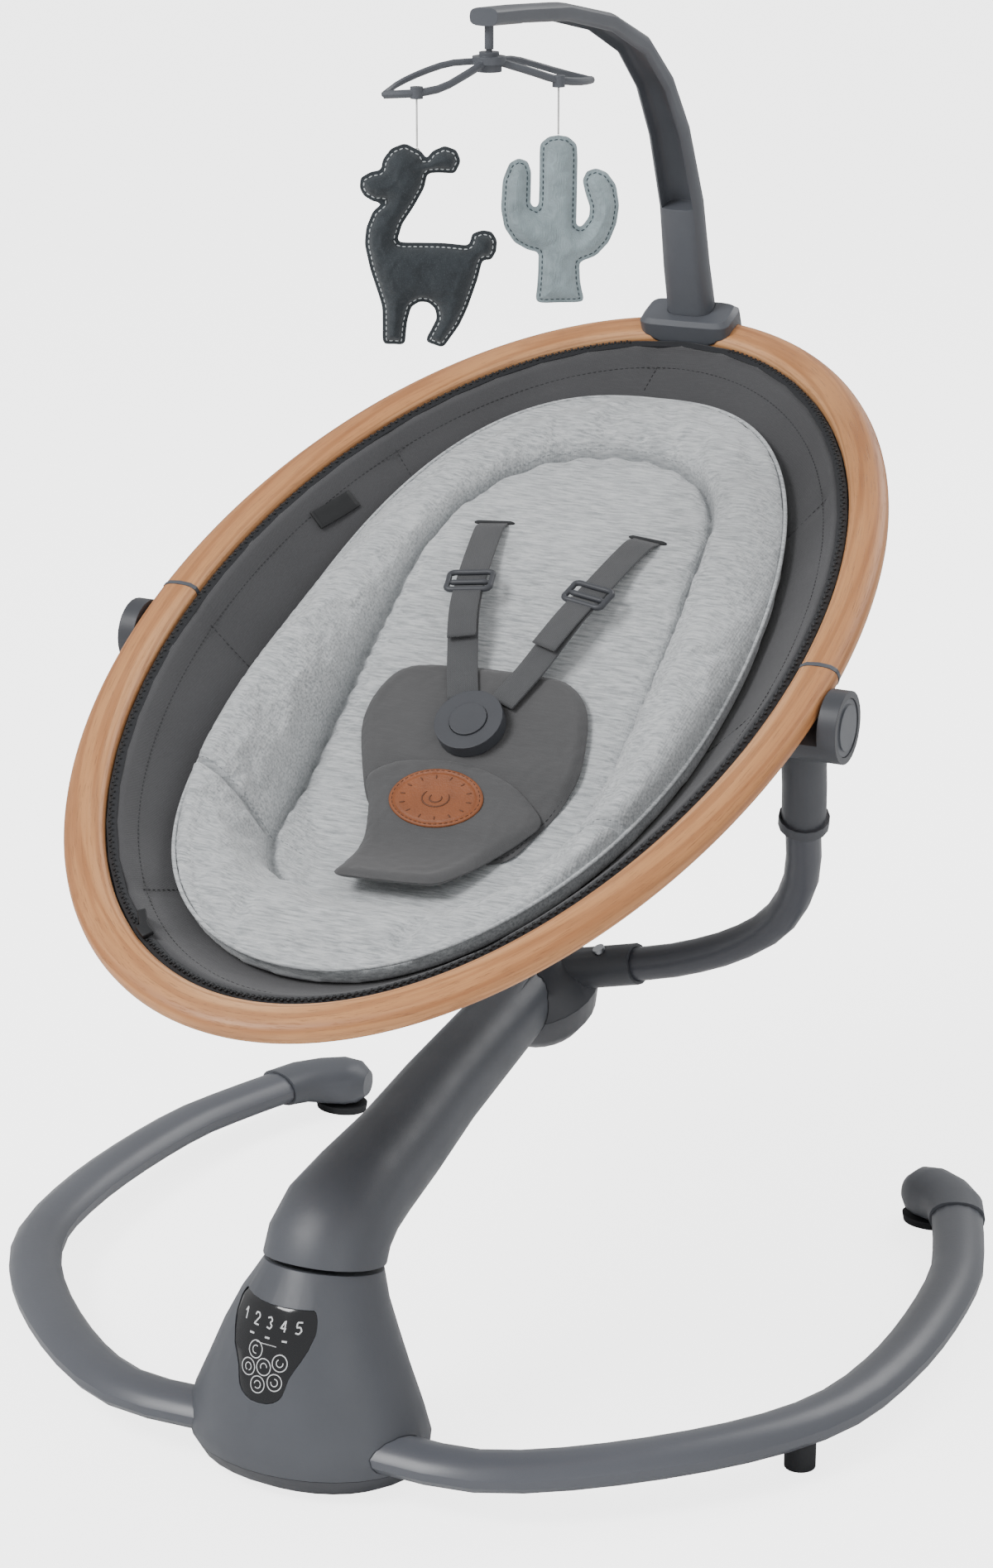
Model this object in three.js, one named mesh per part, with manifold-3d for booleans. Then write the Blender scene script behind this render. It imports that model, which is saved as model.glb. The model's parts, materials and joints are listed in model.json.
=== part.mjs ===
// A baby swing: a C-shaped floor base with a motor pedestal, a swing arm and yoke that carry an oval,
// wood-rimmed fabric seat, and a plug-in toy bar with a mobile. Millimetres, +Z up. The baby faces -Y, and
// the origin lies on the floor under the point where the arm turns on the pedestal.
import * as THREE from "three";
import { mergeVertices } from "three/addons/utils/BufferGeometryUtils.js";
import { LoftGeometry } from "three/addons/geometries/LoftGeometry.js";
import Module from "manifold-3d";

const wasm = await Module();
wasm.setup();

// ---- Driving dimensions ----
const GAP = 0.3; // between pieces that touch
const SLIVER = 0.04; // details below this size are cleaned away
const SIDES = { left: 1, right: -1 }; // the baby's left is +X

// Floor base
const BASE_HALF_WIDTH = 291; // to the middle of the tube
const BASE_LENGTH = 448; // from the front of the rail to the seams of the end caps
const RAIL_FRONT = -28; // y of the rail where it crosses the pedestal
const TUBE_WIDTH = 34.6;
const TUBE_HEIGHT = 21.7;
const TUBE_Z = 28; // middle of the tube at the front
const TUBE_DROP = 3.4; // how much lower the tube is at the back
const FOOT_RADIUS = 9.5;
const FOOT_ALONG = 0.488; // share of the tube in front of the foot
const CAP_PAD_HEIGHT = 3.6;

// Pedestal
const PLATE_TOP = 16.5;
const HOUSING_WALL = 4;
const PIVOT_TILT = THREE.MathUtils.degToRad(15); // the swing axis leans back
const SWING_PIVOT = new THREE.Vector3(0, 10, 121);
const SPLIT_GAP = 3; // open groove between pedestal and arm
const SHAFT_RADIUS = 8;
const SHAFT_LENGTH = 84;
const BEARING_WALL = 4;
const BEARING_LENGTH = 10;
const COLUMN_WALL = 4.5;
const COLUMN_TOP = -24; // along the swing axis, from the split
const COLUMN_BOTTOM = -84;
const PANEL_WIDTH = 57;
const PANEL_TOP = 112;
const PANEL_BOTTOM = 59;
const PANEL_OFFSET = -7; // sideways from the middle of the pedestal
const PANEL_THICKNESS = 1.7;
const PANEL_SINK = 0.5;

// Seat ring and its pivots
const SEAT_TILT = THREE.MathUtils.degToRad(22.8); // head end up
const RECLINE_PIVOT = new THREE.Vector3(0, 216, 424);
const RING_AHEAD = 25.6; // ring centre from the recline axis, towards the head
const RING_ABOVE = 16.3; // ring centre from the recline axis, square to the seat
const RING_LENGTH = 696.6; // along the middle of the wood
const RING_WIDTH = 434.4;
const RING_BOW = 6; // how much lower the two ends are
const WOOD_WIDTH = 25;
const WOOD_HEIGHT = 15;
const SPACER_THICKNESS = 3;
const TRIM_WIDTH = 7;
const TRIM_HEIGHT = 8;
const BOWL_DEPTH = 104;
const BOWL_WALL = 4;
const INSERT_HALF_WIDTH = 0.36 * RING_WIDTH;
const INSERT_HEAD = 0.402 * RING_LENGTH;
const INSERT_FOOT = -0.411 * RING_LENGTH;
const INSERT_SQUARENESS = 2.4;
const SEAT_STRETCH = RING_LENGTH / 700; // the cushion's levels and the pad are drawn for a 700 mm ring

// Yoke
const YOKE_TUBE_RADIUS = 11;
const YOKE_DROP = 238; // from the recline axis to the middle of the hub
const SLEEVE_WALL = 2.6;
const SLEEVE_END = 74; // x of the hub sleeves' mouths
const HUB_RADIUS = 43;
const HUB_DEPTH = 42;
const HUB_FORWARD = 8; // the hub lies this far in front of the tubes
const HEAD_RADIUS = 22;
const HEAD_THICKNESS = 12.5; // outside the wood
const BUTTON_RADIUS = 17.5;
const BUTTON_TRAVEL = 3;
const PIN_RADIUS = 4;
const EAR_RADIUS = 14;
const RECLINE_ENDS = [-13, 9]; // degrees from rest, with a little to spare
const LOCK_PIN_RADIUS = 4;

// Harness
const WEB_WIDTH = 19.5;
const WEB_THICKNESS = 1.6;
const BUCKLE_RADIUS = 22;

// Toy bar
const CLIP_HALF_WIDTH = 33;
const CLIP_INNER = WOOD_WIDTH / 2 + 2.5; // from the middle of the wood to the clip's inner face
const CLIP_OUTER = WOOD_WIDTH / 2 + 4;
const CLIP_TOP = 17; // above the middle of the wood
const SOCKET_DEPTH = 7.5;
const POST_RADIUS = 2.7;
const POST_BACK = 204.7; // from the ring's head to the post, along the seat
const POST_ABOVE = 334.55; // from the ring's plane to the top of the post
const POST_TOP = new THREE.Vector3(0, RING_AHEAD + RING_LENGTH / 2 - POST_BACK, RING_ABOVE + POST_ABOVE)
  .applyAxisAngle(new THREE.Vector3(1, 0, 0), SEAT_TILT)
  .add(RECLINE_PIVOT);
const BRACKET_Z = POST_TOP.z - 33;
const POST_NECK = 1.9;
const POST_FLANGE = 4.5;
const HUB_RISE = 9; // of the bracket's hub above its tips
const BRACKET_REACH = 70;
const BRACKET_TURN = THREE.MathUtils.degToRad(55);
const STRING_RADIUS = 0.6;
const STRING_LENGTH = 31;
const TOY_TURN = THREE.MathUtils.degToRad(26);
const TOY_THICKNESS = 11;
const LOOP_HEIGHT = 2;

// ---- Materials ----
const finish = (color, roughness, metalness = 0) => ({ color, roughness, metalness });
const GREY = finish(0x64676c, 0.5);
const DARK_GREY = finish(0x4a4c51, 0.55);
const BLACK = finish(0x1d1e21, 0.6);
const GLOSS_BLACK = finish(0x17181b, 0.12);
const WOOD = finish(0xcf9568, 0.45);
const STEEL = finish(0xb8bbbf, 0.3, 1);
const COPPER = finish(0xb26a3c, 0.35, 1);
const BOWL_CLOTH = finish(0x55565a, 0.9);
const JERSEY = finish(0xc4c7c8, 0.95);
const PAD_CLOTH = finish(0x5b5b5c, 0.9);
const WEBBING = finish(0x565657, 0.85);
const LEATHER = finish(0xb0714a, 0.6);
const LLAMA_FELT = finish(0x3b464b, 0.95);
const CACTUS_CLOTH = finish(0xb4c2c6, 0.95);
const WHITE = finish(0xf2f2f0, 0.8);
const RUBBER = finish(0x202124, 0.85);

// ---- Solids ----
const v3 = (x, y, z) => new THREE.Vector3(x, y, z);
const range = (count) => Array.from({ length: count }, (_, i) => i);
const along = (from, to, count) => range(count + 1).map((i) => from + ((to - from) * i) / count);

// A closed three.js geometry as a manifold solid with its faces outward.
function solid(geometry) {
  const bare = new THREE.BufferGeometry();
  bare.setAttribute("position", geometry.getAttribute("position"));
  bare.setIndex(geometry.index);
  const merged = mergeVertices(bare, 1e-4);
  const corners = merged.index.array;
  const triVerts = [];
  for (let i = 0; i < corners.length; i += 3) {
    const [a, b, c] = [corners[i], corners[i + 1], corners[i + 2]];
    if (a !== b && b !== c && a !== c) triVerts.push(a, b, c);
  }
  const build = (order) =>
    new wasm.Manifold(
      new wasm.Mesh({
        numProp: 3,
        vertProperties: merged.attributes.position.array,
        triVerts: Uint32Array.from(order),
      }),
    );
  const made = build(triVerts);
  return made.volume() > 0 ? made : build(triVerts.reverse());
}

function geometryOf(manifold) {
  const mesh = manifold.getMesh();
  const positions = [];
  for (let i = 0; i < mesh.numVert; i++) {
    positions.push(...mesh.vertProperties.slice(i * mesh.numProp, i * mesh.numProp + 3));
  }
  const geometry = new THREE.BufferGeometry();
  geometry.setAttribute("position", new THREE.Float32BufferAttribute(positions, 3));
  geometry.setIndex([...mesh.triVerts]);
  geometry.computeVertexNormals();
  return geometry;
}

const moved = (manifold, x, y, z) => manifold.translate([x, y, z]);
const into = (manifold, matrix) => manifold.transform(matrix.elements);

// An oval or rounded-rectangle outline: exponent 2 is an ellipse, larger is squarer.
function ovalPoints(halfX, halfY, sides, exponent = 2) {
  const power = 2 / exponent;
  return range(sides).map((i) => {
    const angle = (i / sides) * 2 * Math.PI;
    const [c, s] = [Math.cos(angle), Math.sin(angle)];
    return new THREE.Vector2(
      halfX * Math.sign(c) * Math.abs(c) ** power,
      halfY * Math.sign(s) * Math.abs(s) ** power,
    );
  });
}

const oval = (halfX, halfY, sides, exponent) =>
  new THREE.Shape(ovalPoints(halfX, halfY, sides, exponent));

// An outline swept along a curve; its x stays towards `up`, and its y lies square to that.
function sweep(curve, outline, steps, up = v3(0, 0, 1)) {
  curve.computeFrenetFrames = (segments) => {
    const frames = { tangents: [], normals: [], binormals: [] };
    for (const t of along(0, 1, segments)) {
      const tangent = curve.getTangentAt(t);
      const binormal = v3().crossVectors(tangent, up).normalize();
      frames.tangents.push(tangent);
      frames.binormals.push(binormal);
      frames.normals.push(v3().crossVectors(binormal, tangent));
    }
    return frames;
  };
  return solid(new THREE.ExtrudeGeometry(outline, { steps, extrudePath: curve }));
}

const curveThrough = (points) => new THREE.CatmullRomCurve3(points, false, "centripetal");

// One cross-section for a loft: an oval around `centre`, with its second direction leaning by `tilt`.
function station(centre, halfX, halfDepth, tilt, sides, exponent = 2) {
  const depth = v3(0, Math.cos(tilt), Math.sin(tilt));
  return ovalPoints(halfX, halfDepth, sides, exponent).map((p) =>
    v3(p.x, 0, 0).addScaledVector(depth, p.y).add(centre),
  );
}

const middleOf = (points) =>
  points.reduce((sum, p) => sum.add(p), v3(0, 0, 0)).divideScalar(points.length);

// A skin through cross-sections, with flat ends, or with ends that shrink to a point.
function loft(sections, flatEnds = true) {
  const [first, second] = sections;
  const start = middleOf(first);
  const turning = first.reduce((sum, p, i) => {
    const next = first[(i + 1) % first.length].clone().sub(start);
    return sum.add(p.clone().sub(start).cross(next));
  }, v3(0, 0, 0));
  const backward = turning.dot(middleOf(second).sub(start)) < 0;
  const ordered = backward ? sections.map((points) => [...points].reverse()) : sections;
  return solid(new LoftGeometry(ordered, { capStart: flatEnds, capEnd: flatEnds }));
}
const lathe = (profile, segments = 24) =>
  solid(new THREE.LatheGeometry(profile.map(([r, h]) => new THREE.Vector2(r, h)), segments));
const box = (x, y, z) => solid(new THREE.BoxGeometry(x, y, z));
const TO_Z = new THREE.Matrix4().makeRotationX(Math.PI / 2); // turns a lathe's axis from Y to Z
const TO_X = new THREE.Matrix4().makeRotationZ(-Math.PI / 2); // turns a lathe's axis from Y to X

// A ring or tube turned about X, from x = `from` to x = `to`.
function turnedX(inner, outer, from, to, segments = 24) {
  const profile = inner
    ? [[inner, from], [outer, from], [outer, to], [inner, to], [inner, from]]
    : [[0, from], [outer, from], [outer, to], [0, to]];
  return into(lathe(profile, segments), TO_X);
}

function turnedZ(inner, outer, from, to, segments = 24) {
  const profile = inner
    ? [[inner, from], [outer, from], [outer, to], [inner, to], [inner, from]]
    : [[0, from], [outer, from], [outer, to], [0, to]];
  return into(lathe(profile, segments), TO_Z);
}

// ---- Scene graph ----
const swing = new THREE.Group();
const pedestalAxis = new THREE.Group(); // origin at the split, +Z along the swing axis
pedestalAxis.position.copy(SWING_PIVOT);
pedestalAxis.rotation.x = -PIVOT_TILT;
const yoke = new THREE.Group(); // origin on the recline axis, +Z square to the seat
yoke.position.copy(RECLINE_PIVOT);
yoke.rotation.x = SEAT_TILT;
const seat = new THREE.Group(); // origin at the middle of the ring, +Y towards the head
seat.position.set(0, RING_AHEAD, RING_ABOVE);
const mobile = new THREE.Group(); // origin under the post, +X along the bracket
mobile.position.set(POST_TOP.x, POST_TOP.y, BRACKET_Z);
mobile.rotation.z = BRACKET_TURN;
swing.add(pedestalAxis, yoke, mobile);
yoke.add(seat);
swing.updateMatrixWorld(true);

function place(group, name, manifold, look) {
  const clean = manifold.simplify(SLIVER);
  const mesh = new THREE.Mesh(geometryOf(clean), new THREE.MeshStandardMaterial(look));
  mesh.name = name;
  group.add(mesh);
}

// The matrix that takes a solid from one group's frame to another's.
const between = (from, to) => to.matrixWorld.clone().invert().multiply(from.matrixWorld);

// ---- Floor base ----
// The right half of the rail; the left half is its mirror.
const railPoint = (side, across, back) =>
  v3(side * across * BASE_HALF_WIDTH, RAIL_FRONT + back * BASE_LENGTH, TUBE_Z - back * TUBE_DROP);
const rail = (side) =>
  curveThrough(
    [[0.045, 0], [0.2, -0.006], [0.42, 0.003], [0.74, 0.154], [0.94, 0.33], [1, 0.52], [0.983, 0.8],
      [0.942, 0.901], [0.888, 1]].map(([across, back]) => railPoint(side, across, back)),
  );
const railSolid = (side, grow) =>
  sweep(rail(side), oval(TUBE_HEIGHT / 2 + grow, TUBE_WIDTH / 2 + grow, 14), 24);

function capSolid(side, grow) {
  const tip = railPoint(side, 0.888, 1);
  // Along the cap: how far in, how far back, half height, half width, height of its middle.
  const stations = [
    [0, 0, TUBE_HEIGHT / 2 + 1.4, TUBE_WIDTH / 2 + 1.4, tip.z],
    [8, 19, 13.6, 19.4, 23.6],
    [20, 33, 15.4, 20.6, 21.6],
    [33, 41, 16.2, 20.6, 21],
    [43, 44, 14.4, 17.6, 20.6],
    [50, 45, 8.5, 10.5, 20],
  ];
  const centres = stations.map(([inward, back, , , z]) => v3(tip.x - side * inward, tip.y + back, z));
  const directions = centres.map((c, i) => {
    const before = centres[Math.max(i - 1, 0)];
    const after = centres[Math.min(i + 1, centres.length - 1)];
    return after.clone().sub(before).setZ(0).normalize();
  });
  directions[0] = rail(side).getTangentAt(1).setZ(0).normalize();
  centres[0].addScaledVector(directions[0], 2 * GAP);
  return loft(
    centres.map((centre, i) => {
      const lateral = v3().crossVectors(directions[i], v3(0, 0, 1));
      return ovalPoints(stations[i][3] + grow, stations[i][2] + grow, 24, 2.3).map((p) =>
        centre.clone().addScaledVector(lateral, p.x).add(v3(0, 0, p.y)),
      );
    }),
  );
}

for (const [name, side] of Object.entries(SIDES)) {
  const tube = railSolid(side, 0);
  const seam = railPoint(side, 0.888, 1);
  const cap = capSolid(side, 0);
  const padCentre = v3(seam.x - side * 31, seam.y + 39, 0);
  const pad = into(loft([
    station(v3(0, 0, 0), 19, 14, 0, 28),
    station(v3(0, 0, CAP_PAD_HEIGHT + 2), 20, 15, 0, 28),
  ]), new THREE.Matrix4().setPosition(padCentre)).subtract(capSolid(side, GAP));
  const overCap = moved(box(80, 80, 30), padCentre.x, padCentre.y, 30);
  place(swing, `base_tube_${name}`, tube, GREY);
  place(swing, `tube_end_cap_${name}`, cap, GREY);
  place(swing, `end_cap_pad_${name}`, pad.subtract(overCap), RUBBER);
  const footAt = rail(side).getPointAt(FOOT_ALONG);
  const foot = moved(turnedZ(0, FOOT_RADIUS, 0, TUBE_Z, 20), footAt.x, footAt.y, 0);
  place(swing, `round_foot_${name}`, foot.subtract(railSolid(side, GAP)), RUBBER);
}

// ---- Pedestal ----
// Height, middle y, half width, half depth, lean of the section.
const HOUSING = [
  [PLATE_TOP + GAP, -12, 75, 55, 0],
  [26, -13, 76.5, 56.5, 0],
  [42, -13, 72, 54, 0],
  [62, -11, 63.5, 49.5, 0],
  [84, -8, 54.5, 45.5, 3],
  [104, -2, 45, 41, 9],
];
const NECK_RADIUS = 36;
const leaning = (degrees) => -THREE.MathUtils.degToRad(degrees);

function housingSolid(inset, top, below = 0) {
  const sections = HOUSING.map(([z, y, halfX, halfY, lean], i) =>
    station(v3(0, y, i ? z : z - below), halfX - inset, halfY - inset, leaning(lean), 32),
  );
  const end = v3(0, 0, top).applyMatrix4(pedestalAxis.matrixWorld);
  sections.push(station(end, NECK_RADIUS - inset, NECK_RADIUS - inset, -PIVOT_TILT, 32));
  return loft(sections);
}

// A shield outline in the XZ plane, pushed through the front wall.
function panelPrism(grow) {
  const half = PANEL_WIDTH / 2 + grow;
  const middle = (PANEL_TOP + PANEL_BOTTOM) / 2;
  const tall = (PANEL_TOP - PANEL_BOTTOM) / 2 + grow;
  const shape = new THREE.Shape();
  shape.moveTo(-half * 0.86, tall);
  shape.quadraticCurveTo(-half, tall * 0.95, -half, tall * 0.55);
  shape.bezierCurveTo(-half * 0.92, 0, -half * 0.6, -tall * 0.2, -half * 0.56, -tall * 0.6);
  shape.quadraticCurveTo(-half * 0.5, -tall, 0, -tall);
  shape.quadraticCurveTo(half * 0.5, -tall, half * 0.56, -tall * 0.6);
  shape.bezierCurveTo(half * 0.6, -tall * 0.2, half * 0.92, 0, half, tall * 0.55);
  shape.quadraticCurveTo(half, tall * 0.95, half * 0.86, tall);
  shape.closePath();
  const depth = 80;
  const prism = solid(new THREE.ExtrudeGeometry(shape, { depth, bevelEnabled: false, curveSegments: 5 }));
  return moved(into(prism, TO_Z), PANEL_OFFSET, -15, middle);
}

const shaftAxisToWorld = pedestalAxis.matrixWorld;
const bore = (radius, from, to) => into(turnedZ(0, radius, from, to), shaftAxisToWorld);
const inletAt = v3(26, 40, 31);
const inletHole = (radius) => {
  const rod = new THREE.Matrix4()
    .makeRotationX(-Math.PI / 2)
    .setPosition(inletAt.x, inletAt.y - 20, inletAt.z);
  return into(turnedZ(0, radius, 0, 40, 24), rod);
};
const neckTop = -SPLIT_GAP / 2;
let housing = housingSolid(0, neckTop)
  .subtract(housingSolid(HOUSING_WALL, neckTop - HOUSING_WALL, 5))
  .subtract(bore(SHAFT_RADIUS + 2, -20, 5))
  .subtract(inletHole(6))
  .subtract(panelPrism(GAP).subtract(housingSolid(PANEL_SINK + PANEL_THICKNESS + GAP, neckTop - 1, 5)));
for (const side of Object.values(SIDES)) housing = housing.subtract(railSolid(side, GAP));
place(swing, "pedestal_housing", housing, GREY);

const panel = panelPrism(0)
  .intersect(housingSolid(PANEL_SINK, neckTop - PANEL_SINK))
  .subtract(housingSolid(PANEL_SINK + PANEL_THICKNESS, neckTop - 2 * PANEL_SINK, 5));
place(swing, "control_panel", panel, GLOSS_BLACK);

const plateOuter = loft([
  station(v3(0, -12, 0), 58, 39, 0, 32),
  station(v3(0, -12, 7), 69.5, 49.5, 0, 32),
  station(v3(0, -12, PLATE_TOP), 74.8, 54.8, 0, 32),
]);
const plateInner = loft([
  station(v3(0, -12, 3), 52, 33, 0, 32),
  station(v3(0, -12, 8), 65, 45, 0, 32),
  station(v3(0, -12, PLATE_TOP + 1), 71.2, 51.2, 0, 32),
]);
place(swing, "pedestal_base_plate", plateOuter.subtract(plateInner), DARK_GREY);

// The frame inside clamps both tubes and holds the swing shaft in two bearings.
const columnOuter = SHAFT_RADIUS + GAP + BEARING_WALL + GAP + COLUMN_WALL;
const columnBore = SHAFT_RADIUS + GAP + BEARING_WALL + GAP;
const block = moved(box(96, 58, 40), 0, -22, 3 + GAP + 20);
const interior = loft([
  station(v3(0, -12, 3 + GAP), 51, 32, 0, 32),
  station(v3(0, -12, 8), 64, 44, 0, 32),
  station(v3(0, -12, PLATE_TOP + 1), 70, 50, 0, 32),
  ...HOUSING.slice(1).map(([z, y, halfX, halfY, lean]) =>
    station(v3(0, y, z), halfX - HOUSING_WALL - 0.8, halfY - HOUSING_WALL - 0.8, leaning(lean), 32),
  ),
]);
const LEVER_Z = COLUMN_TOP + 3;
const coilTop = LEVER_Z - 2 * GAP - 9 - 1;
const COIL_X = columnOuter + 8.5;
const coilShelf = moved(box(18, 14, 4), columnOuter + 7, 0, coilTop - 12 - GAP - 2);
let frame = block
  .add(bore(columnOuter, COLUMN_BOTTOM, COLUMN_TOP))
  .add(into(coilShelf, shaftAxisToWorld))
  .subtract(bore(columnBore, COLUMN_BOTTOM + 4, COLUMN_TOP + 5));
for (const side of Object.values(SIDES)) frame = frame.subtract(railSolid(side, 2 * GAP));
frame = frame.intersect(interior);
place(swing, "pedestal_frame", frame, DARK_GREY);

const bearing = (from) =>
  turnedZ(SHAFT_RADIUS + GAP, SHAFT_RADIUS + GAP + BEARING_WALL, from, from + BEARING_LENGTH);
place(pedestalAxis, "shaft_bearing_upper", bearing(COLUMN_TOP - BEARING_LENGTH), STEEL);
place(pedestalAxis, "shaft_bearing_lower", bearing(COLUMN_BOTTOM + 6), STEEL);
const shaftBottom = COLUMN_BOTTOM + 8;
place(pedestalAxis, "swing_shaft", turnedZ(0, SHAFT_RADIUS, shaftBottom, shaftBottom + SHAFT_LENGTH), STEEL);

// The drive: a coil on the frame pushes a magnet on a lever that turns with the shaft.
const LEVER_LENGTH = 24;
const leverHub = turnedZ(SHAFT_RADIUS + GAP, SHAFT_RADIUS + 5, LEVER_Z, LEVER_Z + 6);
const leverInner = SHAFT_RADIUS + 2;
const leverBar = moved(box(LEVER_LENGTH - leverInner, 9, 6), (LEVER_LENGTH + leverInner) / 2, 0, LEVER_Z + 3);
place(pedestalAxis, "drive_lever", leverHub.add(leverBar), GREY);
place(pedestalAxis, "drive_magnet", moved(box(8, 12, 9), LEVER_LENGTH - 2, 0, LEVER_Z - GAP - 4.5), STEEL);
place(pedestalAxis, "drive_coil", moved(turnedZ(3.5, 8, coilTop - 12, coilTop, 20), COIL_X, 0, 0), COPPER);

const boardLean = new THREE.Matrix4().makeRotationX(-0.3).setPosition(0, -42.5, 76);
place(swing, "control_board", into(box(42, 1.6, 40), boardLean), finish(0x1f6b42, 0.6));
const inletTurn = new THREE.Matrix4()
  .makeRotationX(-Math.PI / 2)
  .setPosition(inletAt.x, inletAt.y - 12, inletAt.z);
place(swing, "power_inlet", into(turnedZ(2.8, 5.6, 0, 13, 24), inletTurn), BLACK);

// ---- Swing arm ----
// Centre y and z, half width, half depth, and the direction that the arm runs in there.
const armStart = v3(0, 0, SPLIT_GAP / 2).applyMatrix4(pedestalAxis.matrixWorld);
const hubCentre = v3(0, 0, -YOKE_DROP).applyMatrix4(yoke.matrixWorld);
const ARM = [
  [armStart.y, armStart.z, NECK_RADIUS, NECK_RADIUS, 75],
  [17, 134, 35.8, 35.5, 64],
  [34, 144, 34.4, 33, 42],
  [62, 149, 31.8, 29.5, 20],
  [108, 156, 29, 27, 12],
  [165, 169, 26.5, 25, 14],
  [hubCentre.y - HUB_RADIUS - 4, hubCentre.z - 20, 24, 22, 15],
  [hubCentre.y + 6, hubCentre.z - 7, 22.5, 16, 15],
];
const armSolid = (grow) =>
  loft(ARM.map(([y, z, halfX, halfDepth, rise]) =>
    station(v3(0, y, z), halfX + grow, halfDepth + grow, THREE.MathUtils.degToRad(rise - 90), 28, 2.2),
  ));
const armShell = armSolid(0).subtract(armSolid(-3));
// A plate across the arm's mouth carries a socket for the shaft.
const shaftTop = shaftBottom + SHAFT_LENGTH;
const socketPlate = turnedZ(0, NECK_RADIUS, SPLIT_GAP / 2, 5)
  .add(turnedZ(0, SHAFT_RADIUS + 5, SPLIT_GAP / 2, shaftTop + 4))
  .subtract(turnedZ(0, SHAFT_RADIUS + GAP, -5, shaftTop + GAP));
const armMouth = bore(NECK_RADIUS - 3, 0, 6);
const arm = armShell.subtract(armMouth).add(into(socketPlate, shaftAxisToWorld).intersect(armSolid(-0.6)));
place(swing, "swing_arm", arm, GREY);

// ---- Hub and yoke ----
const yokeHalfSpan = RING_WIDTH / 2 - 7; // x of the yoke tubes where they meet the stalks
const yokePath = (side) =>
  curveThrough([
    [26, -YOKE_DROP - 0.5], [70, -YOKE_DROP + 13], [105, -YOKE_DROP + 25], [147, -191], [178, -164],
    [yokeHalfSpan - 12, -125], [yokeHalfSpan - 5, -76], [yokeHalfSpan - 1, -48],
  ].map(([x, z]) => v3(side * x, 0, z)));
const roundOutline = (radius, count) => oval(radius, radius, count);
const yokeTube = (side, grow) =>
  sweep(yokePath(side), roundOutline(YOKE_TUBE_RADIUS + grow, 14), 15, v3(0, 1, 0));
const sleevePath = (side) =>
  curveThrough([v3(side * 20, 0, -YOKE_DROP - 2), v3(side * SLEEVE_END, 0, -YOKE_DROP + 14.4)]);
const cupProfile = [
  [0, -HUB_DEPTH], [15, -HUB_DEPTH + 2], [28, -HUB_DEPTH + 9], [37.5, -HUB_DEPTH + 21], [HUB_RADIUS, 0],
  [HUB_RADIUS - 3, 0], [34.5, -HUB_DEPTH + 23], [25.5, -HUB_DEPTH + 12], [13, -HUB_DEPTH + 5.2],
  [0, -HUB_DEPTH + 4],
];
const HUB_SEAM = -YOKE_DROP - 10;
const worldToYoke = between(swing, yoke);
const armKeepOut = into(armSolid(GAP), worldToYoke);
let cup = moved(into(lathe(cupProfile, 28), TO_Z), 0, -HUB_FORWARD, HUB_SEAM).subtract(armKeepOut);
for (const side of Object.values(SIDES)) cup = cup.subtract(yokeTube(side, GAP));
place(yoke, "hub_cup", cup, DARK_GREY);

const SLEEVE_RADIUS = YOKE_TUBE_RADIUS + SLEEVE_WALL;
const coverProfile = [
  [0, 24], [20, 22.5], [35, 14], [HUB_RADIUS, GAP], [HUB_RADIUS - 3, GAP], [32, 12], [18, 19.3], [0, 20.5],
];
let cover = moved(into(lathe(coverProfile, 28), TO_Z), 0, -HUB_FORWARD, HUB_SEAM);
for (const side of Object.values(SIDES)) {
  cover = cover.add(sweep(sleevePath(side), roundOutline(SLEEVE_RADIUS, 16), 1, v3(0, 1, 0)));
}
for (const side of Object.values(SIDES)) cover = cover.subtract(yokeTube(side, GAP));
const belowSeam = moved(turnedZ(0, HUB_RADIUS + 2, -30, 0), 0, -HUB_FORWARD, HUB_SEAM + GAP);
cover = cover.subtract(armKeepOut).subtract(belowSeam);
const LOCK_X = 52;
const lockLean = Math.atan2(16.4, SLEEVE_END - 20);
const lockFrame = (side) =>
  new THREE.Matrix4().makeRotationY(-side * lockLean)
    .setPosition(side * LOCK_X, 0, -YOKE_DROP - 2 + (LOCK_X - 20) * Math.tan(lockLean));
for (const side of Object.values(SIDES)) {
  cover = cover.subtract(into(turnedZ(0, LOCK_PIN_RADIUS + GAP, 0, 30, 20), lockFrame(side)));
}
place(yoke, "hub_cover", cover.decompose().sort((a, b) => b.volume() - a.volume())[0], DARK_GREY);

for (const [name, side] of Object.entries(SIDES)) {
  const pinHole = into(turnedZ(0, LOCK_PIN_RADIUS + GAP, 1, 30, 20), lockFrame(side));
  place(yoke, `yoke_tube_${name}`, yokeTube(side, 0).subtract(pinHole), DARK_GREY);
  const pin = into(turnedZ(0, LOCK_PIN_RADIUS, 4, SLEEVE_RADIUS + 2.2, 20), lockFrame(side));
  place(yoke, `yoke_lock_pin_${name}`, pin, STEEL);
}

// ---- Recline heads ----
const headInner = RING_WIDTH / 2 - WOOD_WIDTH / 2 - 1 + 2 * GAP; // inner face, under the ring
const woodEdge = RING_WIDTH / 2 + WOOD_WIDTH / 2;
const headOuter = woodEdge + HEAD_THICKNESS;
const ringUnderside = RING_ABOVE - WOOD_HEIGHT / 2;
const STALK_BOTTOM = -80;
const bracketThickness = 7;
const bracketInner = headInner - GAP - bracketThickness;

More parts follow.
